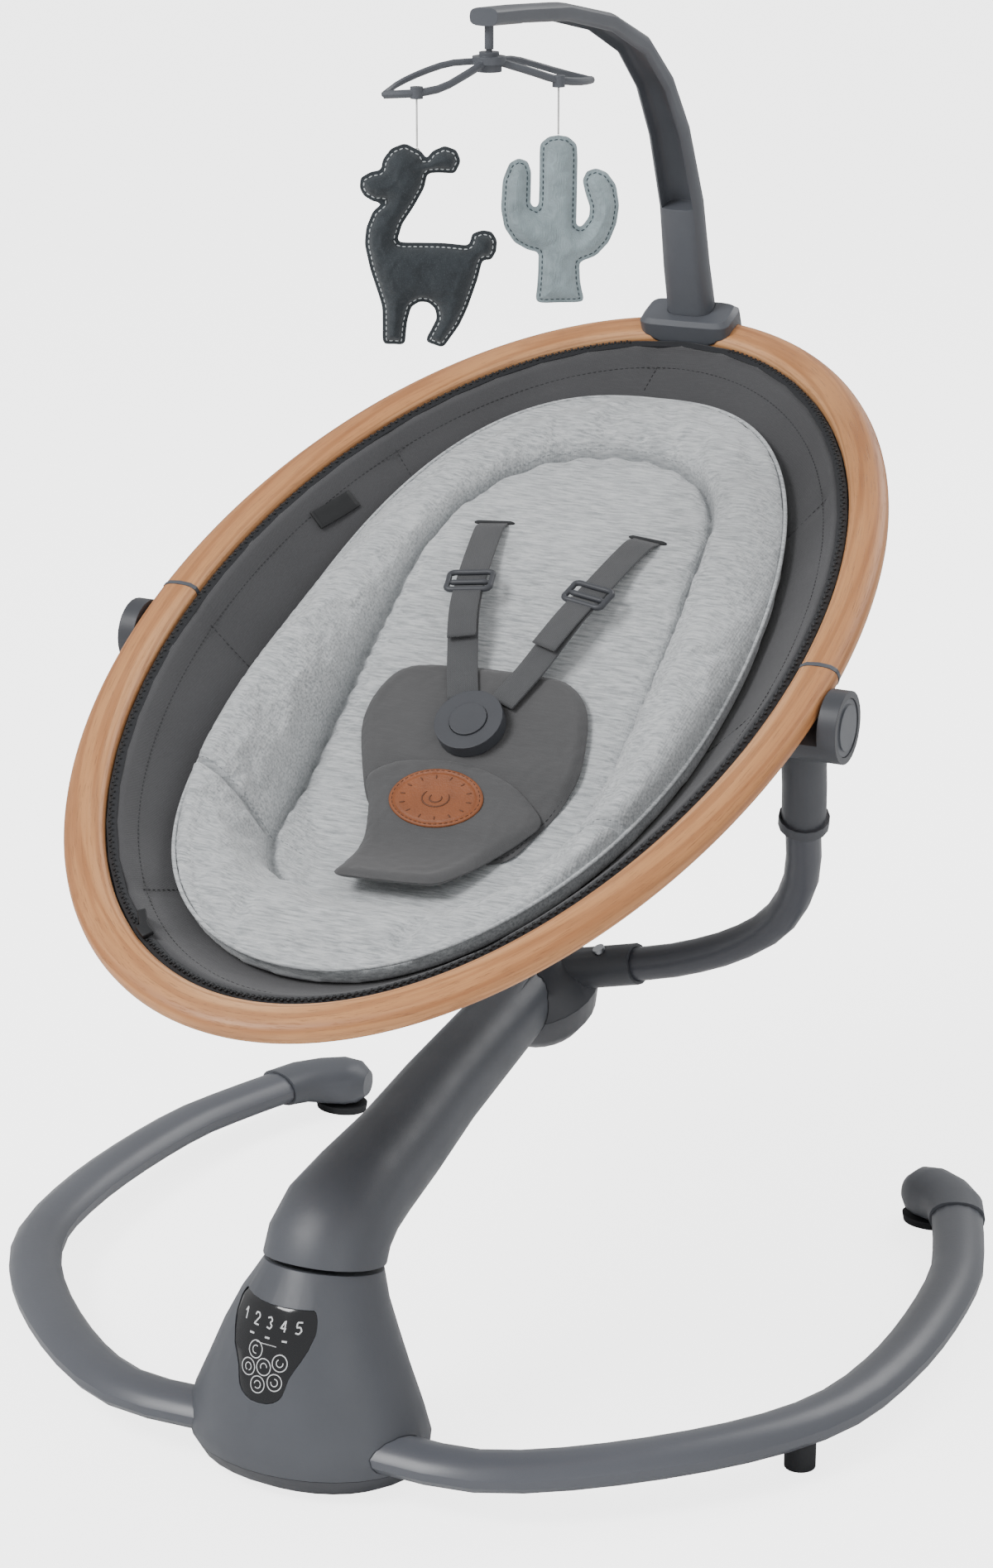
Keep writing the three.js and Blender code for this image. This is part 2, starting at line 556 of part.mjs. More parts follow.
for (const [name, side] of Object.entries(SIDES)) {
  const mirror = new THREE.Matrix4().makeScale(side, 1, 1);
  const bySide = (manifold) => into(manifold, mirror);
  const stalkTop = (headInner + headOuter) / 2 - 4;
  const stalkPath = curveThrough([
    v3(stalkTop, 0, -4), v3(yokeHalfSpan + 2, 0, -26),
    v3(yokeHalfSpan - 1, 0, -50), v3(yokeHalfSpan - 5, 0, STALK_BOTTOM),
  ]);
  const collarPath = curveThrough([
    v3(yokeHalfSpan - 4, 0, STALK_BOTTOM + 6), v3(yokeHalfSpan - 5.3, 0, STALK_BOTTOM - 1),
  ]);
  const barrel = turnedX(0, HEAD_RADIUS, headInner, headOuter, 28);
  // Room for the ring and its bracket at rest and at both ends of the recline.
  const underRing = [0, ...RECLINE_ENDS].map((degrees) => {
    const slab = moved(box(60, 90, 60), woodEdge + 1 - 30, 0, ringUnderside - 4 + 30);
    return into(slab, new THREE.Matrix4().makeRotationX(THREE.MathUtils.degToRad(degrees)));
  }).reduce((all, slab) => all.add(slab));
  const cavity = turnedX(0, BUTTON_RADIUS + GAP, headOuter - 9, headOuter + 5, 28);
  const head = barrel
    .subtract(underRing)
    .add(sweep(stalkPath, oval(13.6, 13.6, 16), 5, v3(0, 1, 0)))
    .add(sweep(collarPath, oval(15.6, 15.6, 16), 1, v3(0, 1, 0)))
    .subtract(underRing)
    .subtract(yokeTube(1, GAP))
    .subtract(turnedX(0, EAR_RADIUS + 1, headInner - 20, headInner, 24))
    .subtract(turnedX(0, PIN_RADIUS + GAP, headInner - 5, headOuter - 12, 20))
    .subtract(cavity);
  place(yoke, `recline_head_${name}`, bySide(head), DARK_GREY);
  const button = turnedX(0, BUTTON_RADIUS, headOuter - 4.2, headOuter - 0.6, 28)
    .add(turnedX(0, BUTTON_RADIUS - 3.5, headOuter - 1.5, headOuter + 0.4, 24));
  place(yoke, `recline_button_${name}`, bySide(button), GREY);
  const pivotPin = turnedX(0, PIN_RADIUS, bracketInner, headOuter - 12 - 2 * GAP, 20);
  place(yoke, `pivot_pin_${name}`, bySide(pivotPin), STEEL);

  // The bracket hangs from the underside of the ring and carries the pin.
  const ear = turnedX(0, EAR_RADIUS, bracketInner, headInner - GAP, 24);
  const webHeight = ringUnderside - 1;
  const web = moved(box(bracketThickness, 28, webHeight), (bracketInner + headInner - GAP) / 2, 0, webHeight / 2);
  const shelf = moved(box(24, 36, 3), bracketInner + 12, 4, ringUnderside - GAP - 1.5);
  const aboveShelf = moved(box(60, 60, 40), bracketInner + 15, 0, ringUnderside - GAP + 20);
  const bracket = ear.add(web).add(shelf).subtract(aboveShelf)
    .subtract(turnedX(0, PIN_RADIUS + GAP, bracketInner - 5, headInner + 40, 24));
  place(yoke, `seat_bracket_${name}`, bySide(bracket), DARK_GREY);
}

// ---- Seat ring ----
const ringCurve = (fromAngle, toAngle, inward, count, dropped = 0) =>
  curveThrough(along(fromAngle, toAngle, count).map((angle) => {
    const [across, forward] = [Math.sin(angle), Math.cos(angle)];
    const [halfW, halfL] = [RING_WIDTH / 2, RING_LENGTH / 2];
    const normal = new THREE.Vector2(across * halfL, forward * halfW).normalize();
    return v3(
      across * halfW - inward * normal.x,
      forward * halfL - inward * normal.y,
      -RING_BOW * forward * forward - dropped,
    );
  }));
const QUARTER = Math.PI / 2;
const RING_STEPS = 30;
const PAST_SEAM = 0.03; // how far each half is drawn past the seam before it is cut there
const woodOutline = (grow) => oval(WOOD_HEIGHT / 2 + grow, WOOD_WIDTH / 2 + grow, 12, 2.6);
const headHalf = (inward, count, dropped) =>
  ringCurve(-QUARTER - PAST_SEAM, QUARTER + PAST_SEAM, inward, count, dropped);
const footHalf = (inward, count, dropped) =>
  ringCurve(QUARTER - PAST_SEAM, 3 * QUARTER + PAST_SEAM, inward, count, dropped);
const ringSlab = (length, y) => moved(box(RING_WIDTH + 60, length, 80), 0, y, 0);
const pastSeam = 60;
const seamCut = (end) => ringSlab(pastSeam, end * (SPACER_THICKNESS / 2 + GAP - pastSeam / 2));
const woodHead = sweep(headHalf(0, 20), woodOutline(0), RING_STEPS).subtract(seamCut(1));
const woodFoot = sweep(footHalf(0, 20), woodOutline(0), RING_STEPS).subtract(seamCut(-1));
place(seat, "ring_wood_head", woodHead, WOOD);
place(seat, "ring_wood_foot", woodFoot, WOOD);
for (const [name, side] of Object.entries(SIDES)) {
  const middle = side * QUARTER;
  const spacer = sweep(ringCurve(middle - PAST_SEAM, middle + PAST_SEAM, 0, 2), woodOutline(0.5), 2)
    .intersect(ringSlab(SPACER_THICKNESS, 0));
  place(seat, `ring_spacer_${name}`, spacer, GREY);
}

// The zip trim lies inside the wood, and the bowl hangs inside the trim.
const trimInset = WOOD_WIDTH / 2 + GAP + TRIM_WIDTH / 2;
const trimOutline = oval(TRIM_HEIGHT / 2, TRIM_WIDTH / 2, 6, 2.4);
const trimCut = (end) => ringSlab(pastSeam, end * (GAP / 2 - pastSeam / 2));
const clipFace = RING_LENGTH / 2 - CLIP_INNER - GAP;
const clipRoom = moved(box(2 * CLIP_HALF_WIDTH + 2 * GAP, 40, 80), 0, clipFace + 20, 0);
const trimHead = sweep(headHalf(trimInset, 20, 1), trimOutline, 26).subtract(trimCut(1));
place(seat, "zip_trim_head", trimHead.subtract(clipRoom), BLACK);
const trimFoot = sweep(footHalf(trimInset, 20, 1), trimOutline, 26).subtract(trimCut(-1));
place(seat, "zip_trim_foot", trimFoot, BLACK);

const bowlInset = WOOD_WIDTH / 2 + 2 * GAP + TRIM_WIDTH;
// Depth of the bowl's inside, as a share of its half width and half length from the middle.
function bowlFloor(reach, angle) {
  const forward = reach * Math.cos(angle);
  const deepest = BOWL_DEPTH * (1 - 0.2 * forward - 0.12 * forward * forward);
  return -4 - deepest * (1 - reach ** 2.1) - RING_BOW * forward * forward;
}
function bowlRow(reach, lower, outward) {
  return range(36).map((i) => {
    const angle = (i / 36) * 2 * Math.PI;
    const halfW = RING_WIDTH / 2 - bowlInset - BOWL_WALL * 0.5 + outward;
    const halfL = RING_LENGTH / 2 - bowlInset - BOWL_WALL * 0.5 + outward;
    return v3(
      reach * halfW * Math.sin(angle),
      reach * halfL * Math.cos(angle),
      bowlFloor(reach, angle) - lower,
    );
  });
}
const REACHES = [0, 0.2, 0.42, 0.62, 0.78, 0.9, 1];
const bowl = loft([
  ...REACHES.map((reach) => bowlRow(reach, BOWL_WALL, 2 * reach)),
  ...[...REACHES].reverse().map((reach) => bowlRow(reach, 0, -2 * reach)),
], false);
place(seat, "seat_bowl", bowl, BOWL_CLOTH);

// ---- Insert ----
// The cushion's top is a raised roll round a sunken panel; its underside follows the bowl.
const insertMiddle = (INSERT_HEAD + INSERT_FOOT) / 2;
const insertHalfLength = (INSERT_HEAD - INSERT_FOOT) / 2;
function insertPoint(reach, angle, height) {
  const rounded = 2 / INSERT_SQUARENESS;
  const [s, c] = [Math.sin(angle), Math.cos(angle)];
  return v3(
    reach * INSERT_HALF_WIDTH * Math.sign(s) * Math.abs(s) ** rounded,
    insertMiddle + reach * insertHalfLength * Math.sign(c) * Math.abs(c) ** rounded,
    height,
  );
}
function floorUnder(x, y) {
  const halfW = RING_WIDTH / 2 - bowlInset - BOWL_WALL;
  const halfL = RING_LENGTH / 2 - bowlInset - BOWL_WALL;
  const reach = Math.min(Math.hypot(x / halfW, y / halfL), 1);
  return bowlFloor(reach, Math.atan2(x / halfW, y / halfL));
}
// Height of the sunken panel along the seat: shallow behind the head, deepest under the legs.
const PANEL_LEVELS = [
  [-290, -40], [-150, -76], [-105, -73], [-50, -59], [0, -45], [60, -30], [118, -19], [278, -26],
];
const panelLine = new THREE.SplineCurve(PANEL_LEVELS.map(([y, z]) => new THREE.Vector2(y * SEAT_STRETCH, z)));
const panelSamples = panelLine.getPoints(70);
function panelHeight(y) {
  const next = Math.max(panelSamples.findIndex((p) => p.x >= y), 1);
  const [a, b] = [panelSamples[next - 1], panelSamples[next]];
  return THREE.MathUtils.mapLinear(y, a.x, b.x, a.y, b.y);
}
function insertTop(reach, angle) {
  const { x, y } = insertPoint(reach, angle, 0);
  const crest = -6 - 22 * Math.max(0, -Math.cos(angle)) ** 2;
  const blend = THREE.MathUtils.smoothstep(reach, 0.5, 0.78);
  const edge = 20 * Math.max(0, (reach - 0.86) / 0.14) ** 2;
  return Math.max(panelHeight(y) * (1 - blend) + crest * blend - edge, floorUnder(x, y) + 8);
}
function insertTopAt(x, y) {
  const power = INSERT_SQUARENESS / 2;
  const unbend = (share) => Math.sign(share) * Math.abs(share) ** power;
  const [across, ahead] = [unbend(x / INSERT_HALF_WIDTH), unbend((y - insertMiddle) / insertHalfLength)];
  return insertTop(Math.hypot(across, ahead) ** (1 / power), Math.atan2(across, ahead));
}
const insertRow = (reach, height) =>
  range(32).map((i) => {
    const angle = (i / 32) * 2 * Math.PI;
    return insertPoint(reach, angle, height(reach, angle));
  });
const insertUnder = (reach, angle) => {
  const { x, y } = insertPoint(reach, angle, 0);
  return floorUnder(x, y) + 2.5;
};
const TOP_REACHES = [0, 0.18, 0.36, 0.52, 0.64, 0.76, 0.9, 1];
const insert = loft([
  ...[0, 0.2, 0.42, 0.62, 0.8, 0.97].map((reach) => insertRow(reach, insertUnder)),
  ...[...TOP_REACHES].reverse().map((reach) => insertRow(reach, insertTop)),
], false);
place(seat, "seat_insert", insert, JERSEY);

// ---- Harness ----
// A pad between the legs, narrow at the foot end, with a leather patch and the buckle on it.
const padOutline = new THREE.Shape();
padOutline.moveTo(-34, -178);
padOutline.quadraticCurveTo(0, -186, 34, -178);
padOutline.bezierCurveTo(36, -140, 48, -112, 62, -78);
padOutline.bezierCurveTo(78, -30, 60, -2, 40, 0);
padOutline.quadraticCurveTo(0, 5, -40, 0);
padOutline.bezierCurveTo(-60, -2, -78, -30, -62, -78);
padOutline.bezierCurveTo(-48, -112, -36, -140, -34, -178);
const underPad = (y) => insertTopAt(42, y);
const PAD_LIFT = 5;
const PAD_THICKNESS = 8;
const flatPad = solid(
  new THREE.ExtrudeGeometry(padOutline, { depth: 60, bevelEnabled: false, curveSegments: 6 }),
).scale([1, SEAT_STRETCH, 1]);
const layer = (low, high) => {
  const outline = [
    ...along(-190, 20, 10).map((y) => [y, underPad(y) + low]),
    ...along(20, -190, 10).map((y) => [y, underPad(y) + high]),
  ];
  const shape = new THREE.Shape(outline.map(([y, z]) => new THREE.Vector2(y, z)));
  const slab = solid(new THREE.ExtrudeGeometry(shape, { depth: 200, bevelEnabled: false }));
  // The extrusion runs along Z with the outline in XY: turn it so that the outline lies in YZ.
  const turn = new THREE.Matrix4().makeBasis(v3(0, 1, 0), v3(0, 0, 1), v3(1, 0, 0)).setPosition(-100, 0, 0);
  return into(slab, turn);
};
const padPrism = moved(flatPad, 0, 0, -100).add(moved(flatPad, 0, 0, -50));
place(seat, "crotch_pad", padPrism.intersect(layer(PAD_LIFT, PAD_LIFT + PAD_THICKNESS)), PAD_CLOTH);
const patchTop = PAD_LIFT + PAD_THICKNESS + GAP;
const ovalRod = new THREE.Matrix4().makeScale(30, 1, 20).premultiply(TO_Z);
const patchPrism = moved(into(lathe([[0, -60], [1, -60], [1, 60], [0, 60]], 36), ovalRod), 0, -90, -60);
place(seat, "leather_patch", patchPrism.intersect(layer(patchTop, patchTop + 1.6)), LEATHER);

const buckleHeight = panelHeight(-42) + patchTop;
const buckleSlope = Math.atan((panelHeight(-22) - panelHeight(-62)) / 40);
const buckleLean = new THREE.Matrix4().makeRotationX(buckleSlope).setPosition(0, -42, buckleHeight + 0.6);
const buckleRoom = into(turnedZ(0, BUCKLE_RADIUS + GAP, -20, 40, 24), buckleLean);
const buckleBody = turnedZ(0, BUCKLE_RADIUS, 0, 9, 28).subtract(turnedZ(0, 12 + GAP, 3, 12, 24));
place(seat, "buckle", into(buckleBody, buckleLean), DARK_GREY);
place(seat, "buckle_button", into(turnedZ(0, 12, 3 + 2.6, 10, 24), buckleLean), GREY);

for (const [name, side] of Object.entries(SIDES)) {
  const strapCurve = curveThrough([
    v3(side * 54, 126, insertTopAt(62, 130) + 2), v3(side * 51, 110, insertTopAt(60, 110) + 6),
    v3(side * 38, 47, -14), v3(side * 25, 6, -27), v3(side * 13, -24, panelHeight(-24) + 15.5),
  ]);
  const strap = sweep(strapCurve, oval(WEB_THICKNESS / 2, WEB_WIDTH / 2, 8, 6), 16);
  place(seat, `shoulder_strap_${name}`, strap.subtract(buckleRoom), WEBBING);
  const at = strapCurve.getPointAt(0.42);
  const ahead = strapCurve.getTangentAt(0.42);
  const lateral = v3().crossVectors(ahead, v3(0, 0, 1)).normalize();
  const normal = v3().crossVectors(lateral, ahead);
  const onStrap = new THREE.Matrix4().makeBasis(lateral, ahead, normal).setPosition(at);
  const slider = box(WEB_WIDTH + 9, 17, 5).subtract(box(WEB_WIDTH + 2 * GAP, 30, WEB_THICKNESS + 1.4));
  place(seat, `strap_adjuster_${name}`, into(slider, onStrap), DARK_GREY);
}

// ---- Toy bar ----
const clipMiddle = RING_LENGTH / 2;
const ringAtHead = -RING_BOW;
const clipHalfDepth = (CLIP_INNER + CLIP_OUTER) / 2;
const clipShape = moved(loft([
  station(v3(0, 0, -11), CLIP_HALF_WIDTH - 6, clipHalfDepth, 0, 20, 6),
  station(v3(0, 0, 2), CLIP_HALF_WIDTH, clipHalfDepth, 0, 20, 6),
  station(v3(0, 0, CLIP_TOP - 3), CLIP_HALF_WIDTH, clipHalfDepth, 0, 20, 6),
  station(v3(0, 0, CLIP_TOP), CLIP_HALF_WIDTH - 3, clipHalfDepth - 2.5, 0, 20, 6),
]), 0, clipMiddle + (CLIP_OUTER - CLIP_INNER) / 2, ringAtHead);
const BAR_BASE = ringAtHead + CLIP_TOP - SOCKET_DEPTH;
const BAR = [
  // Distance ahead of the middle of the wood, height, half width, half thickness, lean of the section.
  [4.7, BAR_BASE, 16.2, 11, -6],
  [8.2, 43, 15.4, 10.6, -6],
  [15.2, 87, 14.6, 10, 0],
  [13.2, 143, 13.6, 9, 12],
  [2.7, 185, 12.6, 7.9, 24],
  [-19.3, 224, 11.8, 7, 42],
  [-59.3, 261.5, 11, 6.4, 54],
  [-116.3, 299, 10.2, 5.9, 60],
  [-171.3, 327, 9.6, 5.6, 63],
  [-208.3, 345, 9.2, 5.4, 64],
].map(([ahead, ...rest]) => [clipMiddle + ahead, ...rest]);
const barSections = (grow) =>
  BAR.map(([y, z, halfX, half, lean]) =>
    station(v3(0, y, z), halfX + grow, half + grow, THREE.MathUtils.degToRad(lean), 16, 3),
  );
const barBody = loft(barSections(0));
// The open channel runs up the inner side of the bend.
const channel = loft(BAR.slice(2, 9).map(([y, z, halfX, half, lean]) => {
  const tilt = THREE.MathUtils.degToRad(lean);
  const centre = v3(0, y - Math.cos(tilt) * half * 0.9, z - Math.sin(tilt) * half * 0.9);
  return station(centre, halfX - 3.4, half * 1.25, tilt, 16, 4);
}));
const postHole = moved(turnedZ(0, POST_RADIUS + GAP, -8, 4, 20), POST_TOP.x, POST_TOP.y, POST_TOP.z);
const worldToSeat = between(swing, seat);
const bar = barBody.subtract(channel).subtract(into(postHole, worldToSeat));
place(seat, "toy_arm", bar, GREY);
const socket = loft(BAR.slice(0, 3).map(([y, z, halfX, half, lean], i) =>
  station(v3(0, y, i ? z : z - GAP), halfX + GAP, half + GAP, THREE.MathUtils.degToRad(lean), 16, 3),
));
const ringThroughClip = sweep(headHalf(0, 20), woodOutline(GAP + 0.1), RING_STEPS);
const clipMouth = moved(box(80, WOOD_WIDTH - 8, 20), 0, clipMiddle, ringAtHead - 10 - 6);
const clip = clipShape.subtract(socket).subtract(ringThroughClip).subtract(clipMouth);
place(seat, "toy_bar_clip", clip, GREY);

const postBottom = BRACKET_Z + HUB_RISE + 13;
const post = moved(turnedZ(0, POST_RADIUS, postBottom, POST_TOP.z + 3.5, 20), POST_TOP.x, POST_TOP.y, 0);
const hubTop = BRACKET_Z + HUB_RISE;
const postHead = moved(turnedZ(0, POST_FLANGE, hubTop + 3, hubTop + 6, 20), POST_TOP.x, POST_TOP.y, 0);
const postNeck = moved(turnedZ(0, POST_NECK, hubTop + 5, postBottom + 1, 20), POST_TOP.x, POST_TOP.y, 0);
place(swing, "toy_post", post.add(postNeck).add(postHead), GREY);

// The bracket: a hub with a leaf-shaped loop on each side, its front strap thicker and lower.
const strap = (end, front) => {
  const width = front ? -13 : 12;
  const points = [
    v3(end * 4, front ? -3 : 3, HUB_RISE + 6), v3(end * 22, width * 0.75, HUB_RISE + (front ? 0 : 5)),
    v3(end * 40, width, front ? 3 : 9), v3(end * 56, width * 0.8, front ? 1 : 4),
    v3(end * BRACKET_REACH, 0, 0),
  ];
  return sweep(curveThrough(points), front ? oval(2.4, 2.4, 8) : oval(2, 1.7, 6), 9);
};
const hangerX = { llama: -54, cactus: 40 };
const hangerY = -12.5;
let bracket = turnedZ(0, 10, HUB_RISE + 4.5, HUB_RISE + 9, 20)
  .add(turnedZ(0, 6, HUB_RISE + 8, HUB_RISE + 11.5, 16))
  .add(turnedZ(0, 7.5, HUB_RISE, HUB_RISE + 6, 16));
for (const end of [1, -1]) bracket = bracket.add(strap(end, true)).add(strap(end, false));
for (const [toy, x] of Object.entries(hangerX)) {
  const y = toy === "llama" ? hangerY * 0.84 : hangerY;
  const z = toy === "llama" ? 1.1 : 2.2;
  bracket = bracket.add(moved(turnedZ(0, 3.8, -3.2, 3.6, 14), x, y, z))
    .subtract(moved(turnedZ(0, STRING_RADIUS + 1, -8, 1, 10), x, y, z));
}
bracket = bracket
  .subtract(turnedZ(0, POST_FLANGE + GAP, -10, HUB_RISE + 6 + GAP, 16))
  .subtract(turnedZ(0, POST_NECK + GAP, HUB_RISE, HUB_RISE + 20, 12));
place(mobile, "mobile_bracket", bracket, GREY);

// A toy is a stuffed outline that hangs from a string; the outline's origin is where the string ends.
function toy(name, lift, outlinePoints, look) {
  const x = hangerX[name];
  const y = name === "llama" ? hangerY * 0.84 : hangerY;
  const z = name === "llama" ? 1.1 : 2.2;
  const top = v3(x, y, z).applyMatrix4(mobile.matrixWorld);
  const bottom = top.clone().sub(v3(0, 0, STRING_LENGTH));
  const hanging = new THREE.LineCurve3(top, bottom);
  const string = sweep(hanging, roundOutline(STRING_RADIUS, 8), 12, v3(1, 0, 0));
  place(swing, `${name}_string`, string, WHITE);
  const shape = new THREE.Shape(outlinePoints.map(([px, py]) => new THREE.Vector2(px, py + lift)));
  const half = TOY_THICKNESS / 2;
  const stuffed = solid(new THREE.ExtrudeGeometry(shape, {
    depth: TOY_THICKNESS - 6,
    bevelThickness: 3,
    bevelSize: 2.5,
    bevelOffset: -2.5,
    bevelSegments: 1,
  }));
  const frameOfToy = new THREE.Matrix4().makeBasis(
    v3(Math.cos(TOY_TURN), Math.sin(TOY_TURN), 0), v3(0, 0, 1), v3(Math.sin(TOY_TURN), -Math.cos(TOY_TURN), 0),
  ).setPosition(bottom.x, bottom.y, bottom.z - GAP - LOOP_HEIGHT);
  const loop = moved(turnedZ(0, 1.6, -6 - LOOP_HEIGHT, 0, 10), bottom.x, bottom.y, bottom.z - GAP);
  place(swing, `${name}_toy`, into(moved(stuffed, 0, 0, 3 - half), frameOfToy).add(loop), look);
}

toy("llama", 3.5, [
  [-7, 1], [-15, -2], [-20, -8.5], [-21, -14.5], [-27, -15.5], [-33, -19], [-33.5, -25], [-31, -29.5], [-25, -33],
  [-19, -32.5], [-26, -38.5], [-30, -48], [-31, -57.5], [-28, -72], [-22, -91], [-21, -95.5], [-21, -116.5], [-8, -117],
  [-6.5, -103.5], [-4, -94.5], [1, -91.5], [6, -92], [10, -95.5], [11, -101.5], [4, -115], [14.5, -119], [24, -106],
  [29, -95.5], [35, -78.5], [38, -67], [43, -67], [46, -62], [46.5, -55.5], [43.5, -50.5], [38, -49.5], [32, -51.5],
  [30, -58.5], [15, -57], [-12, -56.5], [-9, -46], [-2, -35.5], [4, -25], [6, -16.5], [12, -16], [22, -16.5],
  [25.5, -9.5], [23, -3], [16, -0.5], [9, -3.5], [5, -8.5], [3, -4],
], LLAMA_FELT);

toy("cactus", 0.4, [
  [-11, -4], [-6, 0.5], [0, 1.5], [6, 0.5], [11, -4], [11.5, -12], [11.2, -40], [11, -52], [14, -53], [18.5, -47],
  [19, -41], [15, -32], [12.5, -25], [16, -19.5], [22, -18], [29, -20.5], [34.5, -28], [36.5, -40], [35, -51],
  [30.5, -62], [23, -70], [13, -74], [13.5, -85], [16, -98], [-13, -98.5], [-11.7, -80], [-11.5, -68],
  [-18, -66.5], [-26, -62], [-32, -53], [-34, -42], [-33, -25], [-29, -15], [-23.5, -12], [-17, -14],
  [-14.5, -20], [-15, -32], [-16, -40], [-12, -42.5], [-11.5, -30],
], CACTUS_CLOTH);

export default swing;
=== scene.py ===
"""Looks of the baby swing: camera, light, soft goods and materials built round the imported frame."""
import json
import math
import random

import bmesh
import bpy
import numpy as np
from mathutils import Matrix, Vector
from mathutils.bvhtree import BVHTree


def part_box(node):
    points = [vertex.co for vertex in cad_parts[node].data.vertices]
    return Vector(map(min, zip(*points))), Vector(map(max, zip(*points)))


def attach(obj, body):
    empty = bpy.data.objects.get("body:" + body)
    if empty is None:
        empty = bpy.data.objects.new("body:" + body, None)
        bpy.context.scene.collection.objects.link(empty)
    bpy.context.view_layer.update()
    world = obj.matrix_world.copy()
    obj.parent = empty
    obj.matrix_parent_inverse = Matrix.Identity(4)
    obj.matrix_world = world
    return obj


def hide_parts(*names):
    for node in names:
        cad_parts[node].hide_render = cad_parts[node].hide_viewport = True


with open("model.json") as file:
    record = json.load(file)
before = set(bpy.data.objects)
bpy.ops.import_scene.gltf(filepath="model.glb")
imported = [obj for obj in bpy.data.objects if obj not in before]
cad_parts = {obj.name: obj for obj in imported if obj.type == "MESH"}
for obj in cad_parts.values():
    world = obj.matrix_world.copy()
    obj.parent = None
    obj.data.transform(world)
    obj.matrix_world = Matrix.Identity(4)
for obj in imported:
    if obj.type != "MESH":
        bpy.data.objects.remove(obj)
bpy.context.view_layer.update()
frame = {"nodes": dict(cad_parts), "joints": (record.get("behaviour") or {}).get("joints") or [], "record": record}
random.seed(11)
MM = 0.001
scene = bpy.context.scene

# ---- Camera ----
AZIMUTH, ELEVATION = math.radians(25.93), math.radians(17.70)
TARGET, DISTANCE = Vector((0, 0.205, 0.38029)), 2.17185
PAN, TILT = math.radians(0.466), math.radians(-0.548)


def make_camera():
    back = Vector((math.sin(AZIMUTH) * math.cos(ELEVATION), -math.cos(AZIMUTH) * math.cos(ELEVATION), math.sin(ELEVATION)))
    up = Vector((0, 0, 1))
    forward = -back
    forward = forward * math.cos(PAN) + forward.cross(up).normalized() * math.sin(PAN)
    right = forward.cross(up).normalized()
    forward = forward * math.cos(TILT) + right.cross(forward) * math.sin(TILT)
    data = bpy.data.cameras.new("camera")
    data.lens, data.sensor_width, data.clip_start, data.clip_end = 81.08, 36, 0.05, 50
    camera = bpy.data.objects.new("camera", data)
    scene.collection.objects.link(camera)
    turned = Matrix((right, right.cross(forward), -forward)).transposed().to_4x4()
    camera.matrix_world = Matrix.Translation(TARGET + back * DISTANCE) @ turned
    scene.camera = camera


make_camera()

# ---- The seat's own frame ----
# x across, v along the ring towards the head, w out of the bowl, all in millimetres.
PIVOT = Vector(next(j["pos_m"] for j in frame["joints"] if j["name"] == "seat_recline"))
SEAT_TILT = math.radians(22.8)
AHEAD, ABOVE = 25.6, 16.3
RING_X, RING_V, RING_BOW = 217.2, 348.3, 6


def seat_points(points):
    """Seat-frame millimetres to the row frame in metres."""
    p = np.asarray(points, float).reshape(-1, 3)
    c, s = math.cos(SEAT_TILT), math.sin(SEAT_TILT)
    v, w = p[:, 1] + AHEAD, p[:, 2] + ABOVE
    return np.stack([p[:, 0] * MM, PIVOT.y + (v * c - w * s) * MM, PIVOT.z + (v * s + w * c) * MM], 1)


def smoothstep(x, a, b):
    t = np.clip((x - a) / (b - a), 0, 1)
    return t * t * (3 - 2 * t)


# ---- Mesh helpers ----
def shade(obj):
    for polygon in obj.data.polygons:
        polygon.use_smooth = True


def add_piece(name, points, faces, body, material, replaces=()):
    """A smooth mesh in the row frame that rides on a body."""
    mesh = bpy.data.meshes.new(name)
    mesh.from_pydata([tuple(p) for p in points], [], faces)
    mesh.validate()
    obj = bpy.data.objects.new(name, mesh)
    scene.collection.objects.link(obj)
    turn_out(mesh)
    dress(obj, body, material, replaces)
    return obj


def turn_out(mesh):
    bm = bmesh.new()
    bm.from_mesh(mesh)
    bmesh.ops.recalc_face_normals(bm, faces=bm.faces)
    bm.to_mesh(mesh)
    bm.free()


def dress(obj, body, material, replaces=()):
    shade(obj)
    obj.data.materials.clear()
    obj.data.materials.append(material)
    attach(obj, body)
    if replaces:
        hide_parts(*replaces)


def points_of(obj):
    co = np.zeros(len(obj.data.vertices) * 3)
    obj.data.vertices.foreach_get("co", co)
    return co.reshape(-1, 3)


def set_points(obj, co):
    obj.data.vertices.foreach_set("co", np.asarray(co, float).ravel())
    obj.data.update()


def apply_modifiers(obj):
    graph = bpy.context.evaluated_depsgraph_get()
    mesh = bpy.data.meshes.new_from_object(obj.evaluated_get(graph))
    obj.modifiers.clear()
    old, obj.data = obj.data, mesh
    bpy.data.meshes.remove(old)


def remesh(obj, size):
    modifier = obj.modifiers.new("remesh", "REMESH")
    modifier.mode, modifier.voxel_size = "VOXEL", size
    apply_modifiers(obj)


def subdivide(obj):
    modifier = obj.modifiers.new("smooth", "SUBSURF")
    modifier.levels = modifier.render_levels = 1
    apply_modifiers(obj)
    shade(obj)


def closed_curve(points, count):
    """A closed smooth outline through the points, with even steps."""
    p = np.asarray(points, float)
    fine = []
    for i in range(len(p)):
        a, b, c, d = (p[(i + k) % len(p)] for k in (-1, 0, 1, 2))
        for t in np.linspace(0, 1, 9)[:-1]:
            fine.append(0.5 * (2 * b + (c - a) * t + (2 * a - 5 * b + 4 * c - d) * t**2 + (3 * b - a - 3 * c + d) * t**3))
    return even(np.array(fine), count, True)


